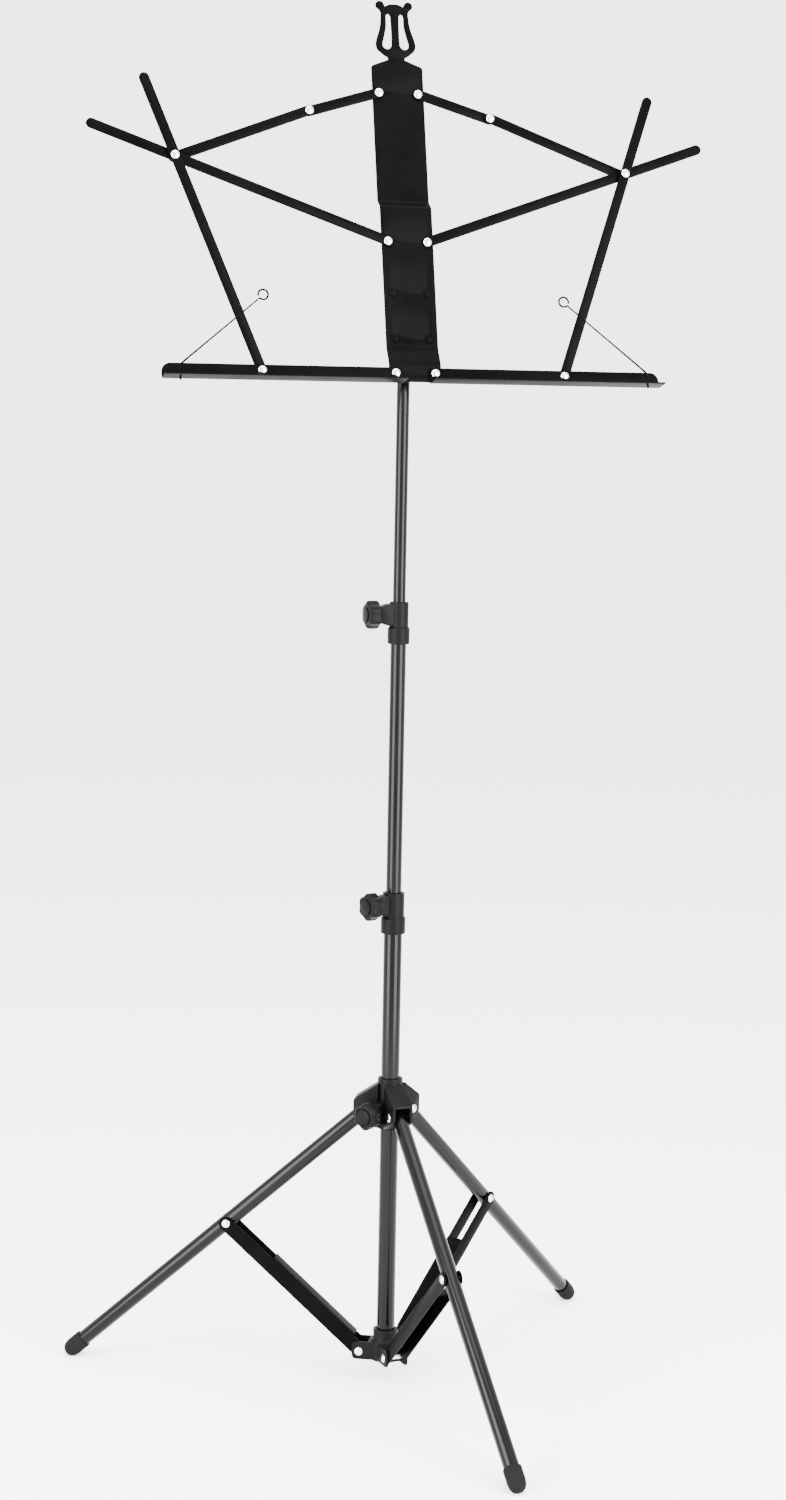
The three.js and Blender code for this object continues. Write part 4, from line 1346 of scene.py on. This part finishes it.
@dataclass
class TiltJoint:
    """Tongue on the upper tube, bracket on the plate, and the bolt and wing nut through them."""

    tilt_v: float = 24.0
    plate_ahead: float = 23.2
    axis_z: float = 1104.0
    tube_r: float = 6.5
    head_below: float = 14.0
    plug_drop: float = 22.0
    tongue: float = 4.0
    ear: float = 8.0
    screw: float = 3.0
    bracket_half: float = 23.0
    bracket_edge: float = 7.0
    rivet_u: float = 17.5
    rivet_v: Point2 = (0.0, 47.0)
    bolt_head: float = 5.0
    bolt_head_h: float = 3.5
    nut: float = 5.5
    nut_h: float = 7.0
    wing_reach: float = 5.0
    wing_tip: float = 4.0
    wing_half: float = 1.2

    def __post_init__(self) -> None:
        """Works out the ears and the axis behind the plate."""
        self.axis_n = LAYERS.middle - self.plate_ahead
        self.back = LAYERS.middle - SHEET - GAP - SHEET
        self.ear_in = self.tongue + GAP
        self.ear_out = self.ear_in + SHEET

    def head(self) -> Solid:
        """The head on the upper tube, in the mast's frame."""
        collar = self.axis_z - self.head_below
        plug = self.tube_r - WALL - GAP
        rim = self.tube_r + 0.6
        corners = [
            (0.0, collar - self.plug_drop),
            (plug, collar - self.plug_drop),
            (plug, collar),
            (rim, collar),
            (rim, collar + 3),
            (self.tongue, collar + 4.5),
            (0.0, collar + 4.5),
        ]
        stem = Solid.lathe(rounded(corners, 0.5, closed=False), 72)
        low = collar + 3 - self.axis_z
        outline = arc((0, 0), self.ear - 1, 0, 180, 24) + [(-self.tube_r, low), (self.tube_r, low)]
        blade = Solid.sheet(outline, -self.tongue, self.tongue, edge=0.5)
        stand_up = Matrix.Rotation(math.pi / 2, 4, "X") @ Matrix.Rotation(math.pi / 2, 4, "Y")
        blade.at(shift(0, 0, self.axis_z) @ stand_up)
        hole = rod(self.screw + GAP, -10, 10).at(shift(0, 0, self.axis_z) @ POINTING)
        return stem.plus(blade).minus(hole)

    def bracket(self) -> Solid:
        """The bracket with its four rivets, in the desk's frame."""
        half, edge = self.bracket_half, self.bracket_edge
        low, high = self.rivet_v[0] - edge, self.rivet_v[1] + edge
        corners = [(-half, low), (half, low), (half, high), (-half, high)]
        made = Solid.sheet(rounded(corners, 4.0), self.back, self.back + SHEET)
        for side in (-1, 1):
            root = -self.back - 1
            outline = [
                (root, self.tilt_v + self.ear + 6),
                (root, self.tilt_v - self.ear - 6),
                (root + 4, self.tilt_v - self.ear),
                *arc((-self.axis_n, self.tilt_v), self.ear, -90, 90, 20),
                (root + 4, self.tilt_v + self.ear),
            ]
            hole = arc((-self.axis_n, self.tilt_v), self.screw + GAP, 0, 345, 23)
            start = self.ear_in if side > 0 else -self.ear_out
            plate = Solid.sheet(outline, start, start + SHEET, [hole])
            made = made.plus(plate.at(POINTING))
        for v in self.rivet_v:
            for side in (-1, 1):
                stud = RIVETS.along(self.back + 0.5, LAYERS.middle + GAP, tailed=False)
                made = made.plus(stud.at(shift(side * self.rivet_u, v, 0)))
        return made

    def bolt(self) -> Solid:
        """The bolt along X, centred on the tilt axis."""
        under = -self.ear_out - GAP
        head = rod(self.bolt_head, under - self.bolt_head_h, under, 0.5, segments=6)
        shank = rod(self.screw, under - 1, self.ear_out + GAP + self.nut_h + 2, 0.4, segments=40)
        return head.plus(shank).at(POINTING)

    def wing_nut(self) -> Solid:
        """The wing nut on the bolt, centred on the tilt axis."""
        start = self.ear_out + GAP
        middle = self.nut + self.wing_reach
        wing = [
            (self.screw + 1, 0),
            *arc((middle, self.nut_h), self.wing_tip, -90, 90, 16),
            (self.screw + 1, self.nut_h - 1),
        ]
        end = start + self.nut_h
        corners = [(0.0, start), (self.nut, start), (self.nut - 1, end), (0.0, end)]
        made = Solid.lathe(rounded(corners, 0.6, closed=False), 48)
        for turn in (0, 180):
            blade = upright(wing, self.wing_half, 0.4)
            made = made.plus(blade.at(shift(0, 0, start) @ about_z(turn)))
        return made.minus(rod(self.screw + GAP, start - 1, start + 2 * self.nut_h)).at(POINTING)


@dataclass
class Desk:
    """The folding desk on top of the mast."""

    tilt: float = 13.6
    strap: float = 10.4
    lower_bar: float = 321.0
    outer_bar: float = 316.0
    plate: DeskPlate = field(default_factory=DeskPlate)
    linkage: Linkage = field(default_factory=Linkage)
    ledge: Ledge = field(default_factory=Ledge)
    retainer: Retainer = field(default_factory=Retainer)
    joint: TiltJoint = field(default_factory=TiltJoint)

    def frame(self) -> Matrix:
        """The desk's frame in the mast's: leaned back about the tilt axis."""
        lean = math.radians(self.tilt)
        joint = self.joint
        y = joint.axis_n * math.cos(lean) - joint.tilt_v * math.sin(lean)
        z = joint.axis_z - joint.tilt_v * math.cos(lean) - joint.axis_n * math.sin(lean)
        return shift(0, y, z) @ Matrix.Rotation(math.pi / 2 - lean, 4, "X")

    def bar(self, start: Vector, end: Vector, length: float, back: float) -> Solid:
        """A flat bar from one pivot towards another.

        Args:
            start: Pivot at its near end.
            end: Pivot that it points at.
            length: From the first pivot to its tip.
            back: Its back's layer.

        Returns:
            The bar, in the desk's frame.
        """
        line = end - start
        turn = Matrix.Rotation(math.atan2(line.y, line.x), 4, "Z")
        made = Solid.sheet(stadium(length, self.strap), back, back + SHEET)
        return made.at(shift(start.x, start.y, 0) @ turn)

    def bars(self) -> dict[str, Solid]:
        """The stays and bars of the right half."""
        link = self.linkage
        inner = (link.elbow - link.stay_pin).length + self.strap / 2
        outer = (link.crossing - link.elbow).length + self.strap / 2
        outer_bar = self.bar(link.outer_pin, link.crossing, self.outer_bar, LAYERS.outer_bar)
        boss = rod(RIVETS.tail, LAYERS.outer_bar - LAYERS.tail, LAYERS.outer_bar + 0.5, 0.3, segments=40)
        return {
            "inner_stay": self.bar(link.stay_pin, link.elbow, inner, LAYERS.inner_stay),
            "outer_stay": self.bar(link.elbow, link.crossing, outer, LAYERS.outer_stay),
            "lower_bar": self.bar(link.bar_pin, link.crossing, self.lower_bar, LAYERS.lower_bar),
            "outer_bar": outer_bar.plus(boss.at(shift(link.outer_pin.x, link.outer_pin.y, 0))),
        }

    def rivets(self) -> dict[str, Solid]:
        """The six rivets of the right half."""
        link, layers = self.linkage, LAYERS
        washers = [(layers.elbow_head, layers.lower_bar - GAP), (layers.bar_head, layers.outer_bar - GAP)]
        made = {
            "stay_pivot": (link.stay_pin, RIVETS.along(-SHEET - GAP, layers.stay_head)),
            "elbow_rivet": (link.elbow, RIVETS.along(layers.stay_head + layers.tail, layers.elbow_head)),
            "bar_pivot": (link.bar_pin, RIVETS.along(layers.middle - SHEET - GAP, layers.bar_head)),
            "crossing_rivet": (
                link.crossing,
                RIVETS.along(layers.outer_stay - GAP, layers.flange, collars=washers),
            ),
            "ledge_pivot": (link.ledge_pin, RIVETS.along(layers.low - SHEET - GAP, layers.ledge_head)),
            "ledge_rivet": (
                link.outer_pin,
                RIVETS.along(layers.flange + GAP, layers.ledge_head, tailed=False),
            ),
        }
        return {name: solid.at(shift(at.x, at.y, 0)) for name, (at, solid) in made.items()}

    def half(self, side: int) -> dict[str, Solid]:
        """Every piece of one half, in the desk's frame.

        Args:
            side: 1 on the right. The left half is -1, and is drawn on the right too, to be mirrored.

        Returns:
            The solids by name. The left retainer stands nearer the flange, so that the wires pass.
        """
        link = self.linkage
        ahead = LAYERS.flange + SHEET + self.retainer.ahead
        if side < 0:
            ahead -= self.retainer.stagger
        retainer = self.retainer.solid().at(shift(self.retainer.place_u, link.ledge_pin.y, ahead))
        pieces = {**self.bars(), **self.rivets()}
        pieces["ledge"] = self.ledge.solid(link.ledge_pin.y)
        pieces["page_retainer"] = retainer
        return pieces

    def build(self, bench: Bench) -> None:
        """Makes and dresses the plate, both halves and the tilt joint."""
        place = self.frame()
        link, joint = self.linkage, self.joint
        pins = [(s * p.x, p.y) for p in (link.bar_pin, link.ledge_pin, link.stay_pin) for s in (-1, 1)]
        studs = [(s * joint.rivet_u, v) for v in joint.rivet_v for s in (-1, 1)]
        bench.put("desk_plate", self.plate.solid(pins + studs).at(place))
        bench.put("tilt_bracket", joint.bracket().at(place))
        axis = shift(0, joint.tilt_v, joint.axis_n)
        bench.put("tilt_bolt", joint.bolt().at(place @ axis), 25.0)
        bench.put("tilt_wing_nut", joint.wing_nut().at(place @ axis))
        bench.put("tilt_head", joint.head())
        for label, side in SIDES.items():
            mirror = Matrix.Diagonal((side, 1, 1, 1))
            for name, solid in self.half(side).items():
                bench.put(f"{label}_{name}", solid.at(place @ mirror))


# ------------------------------------------------------------------ studio
@dataclass
class Softbox:
    """An area light on a stand, placed round the mast by its azimuth from the camera's."""

    name: str
    azimuth: float
    distance: float
    height: float
    size: Point2
    power: float


@dataclass
class Studio:
    """Plain pale floor, soft lights and the camera."""

    azimuth: float = 16.1
    distance: float = 2.876
    height: float = 1.029
    down: float = 7.17
    roll: float = 1.08
    pan: float = 0.07
    lens: float = 67.6
    sensor: float = 36.0
    floor_half: float = 30.0
    floor_grey: float = 0.93
    floor_roughness: float = 0.9
    floor_drop: float = 0.0005
    aim: float = 0.75
    surround: float = 4.0

    def floor(self) -> None:
        """The floor, whose middle is under the stand."""
        bm = bmesh.new()
        bmesh.ops.create_grid(bm, x_segments=8, y_segments=8, size=self.floor_half)
        mesh = bpy.data.meshes.new("floor")
        bm.to_mesh(mesh)
        bm.free()
        graph = Graph("floor_paint")
        grey = (self.floor_grey,) * 3
        mesh.materials.append(graph.close(Base_Color=(*grey, 1), Roughness=self.floor_roughness))
        item = bpy.data.objects.new("floor", mesh)
        item.location.z = -self.floor_drop
        bpy.context.scene.collection.objects.link(item)

    def camera(self, mast: Vector) -> None:
        """The camera, in front and a little to the left of the stand."""
        turn = math.radians(self.azimuth)
        data = bpy.data.cameras.new("camera")
        data.lens = self.lens
        data.sensor_width = self.sensor
        item = bpy.data.objects.new("camera", data)
        away = Vector((-math.sin(turn), -math.cos(turn), 0)) * self.distance
        item.location = mast + away + Vector((0, 0, self.height))
        look = Matrix.Rotation(math.radians(self.pan) - turn, 4, "Z")
        look = look @ Matrix.Rotation(math.radians(90 - self.down), 4, "X")
        look = look @ Matrix.Rotation(math.radians(self.roll), 4, "Z")
        item.rotation_euler = look.to_euler()
        bpy.context.scene.collection.objects.link(item)
        bpy.context.scene.camera = item

    def lights(self, mast: Vector) -> None:
        """Softboxes on both sides, one above, and a pale surround."""
        side = (2.5, 1.2, (1.7, 2.6), 340.0)
        boxes = (
            Softbox("left_softbox", -48.0, *side),
            Softbox("right_softbox", 46.0, *side),
            Softbox("top_softbox", 0.0, 0.4, 3.4, (2.4, 2.4), 160.0),
        )
        for box_light in boxes:
            data = bpy.data.lights.new(box_light.name, "AREA")
            data.shape = "RECTANGLE"
            data.size, data.size_y = box_light.size
            data.energy = box_light.power
            item = bpy.data.objects.new(box_light.name, data)
            turn = math.radians(box_light.azimuth - self.azimuth)
            ahead = Vector((math.sin(turn), -math.cos(turn), 0)) * box_light.distance
            item.location = mast + ahead + Vector((0, 0, box_light.height))
            target = mast + Vector((0, 0, self.aim))
            item.rotation_euler = (target - item.location).to_track_quat("-Z", "Y").to_euler()
            bpy.context.scene.collection.objects.link(item)
        world = bpy.data.worlds.new("surround")
        world.use_nodes = True
        background = world.node_tree.nodes["Background"]
        background.inputs["Color"].default_value = (1, 1, 1, 1)
        background.inputs["Strength"].default_value = self.surround
        bpy.context.scene.world = world

    def build(self, mast: Vector) -> None:
        """Sets up everything around the stand."""
        self.camera(mast)
        self.floor()
        self.lights(mast)


def main() -> None:
    """Builds the studio and the stand."""
    logging.basicConfig(level=logging.INFO, format="%(message)s")
    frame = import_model()
    bench = Bench(frame)
    Studio().build(bench.mast)
    for part in (Mast(), Tripod(), Desk()):
        part.build(bench)


if __name__ == "__main__":
    main()
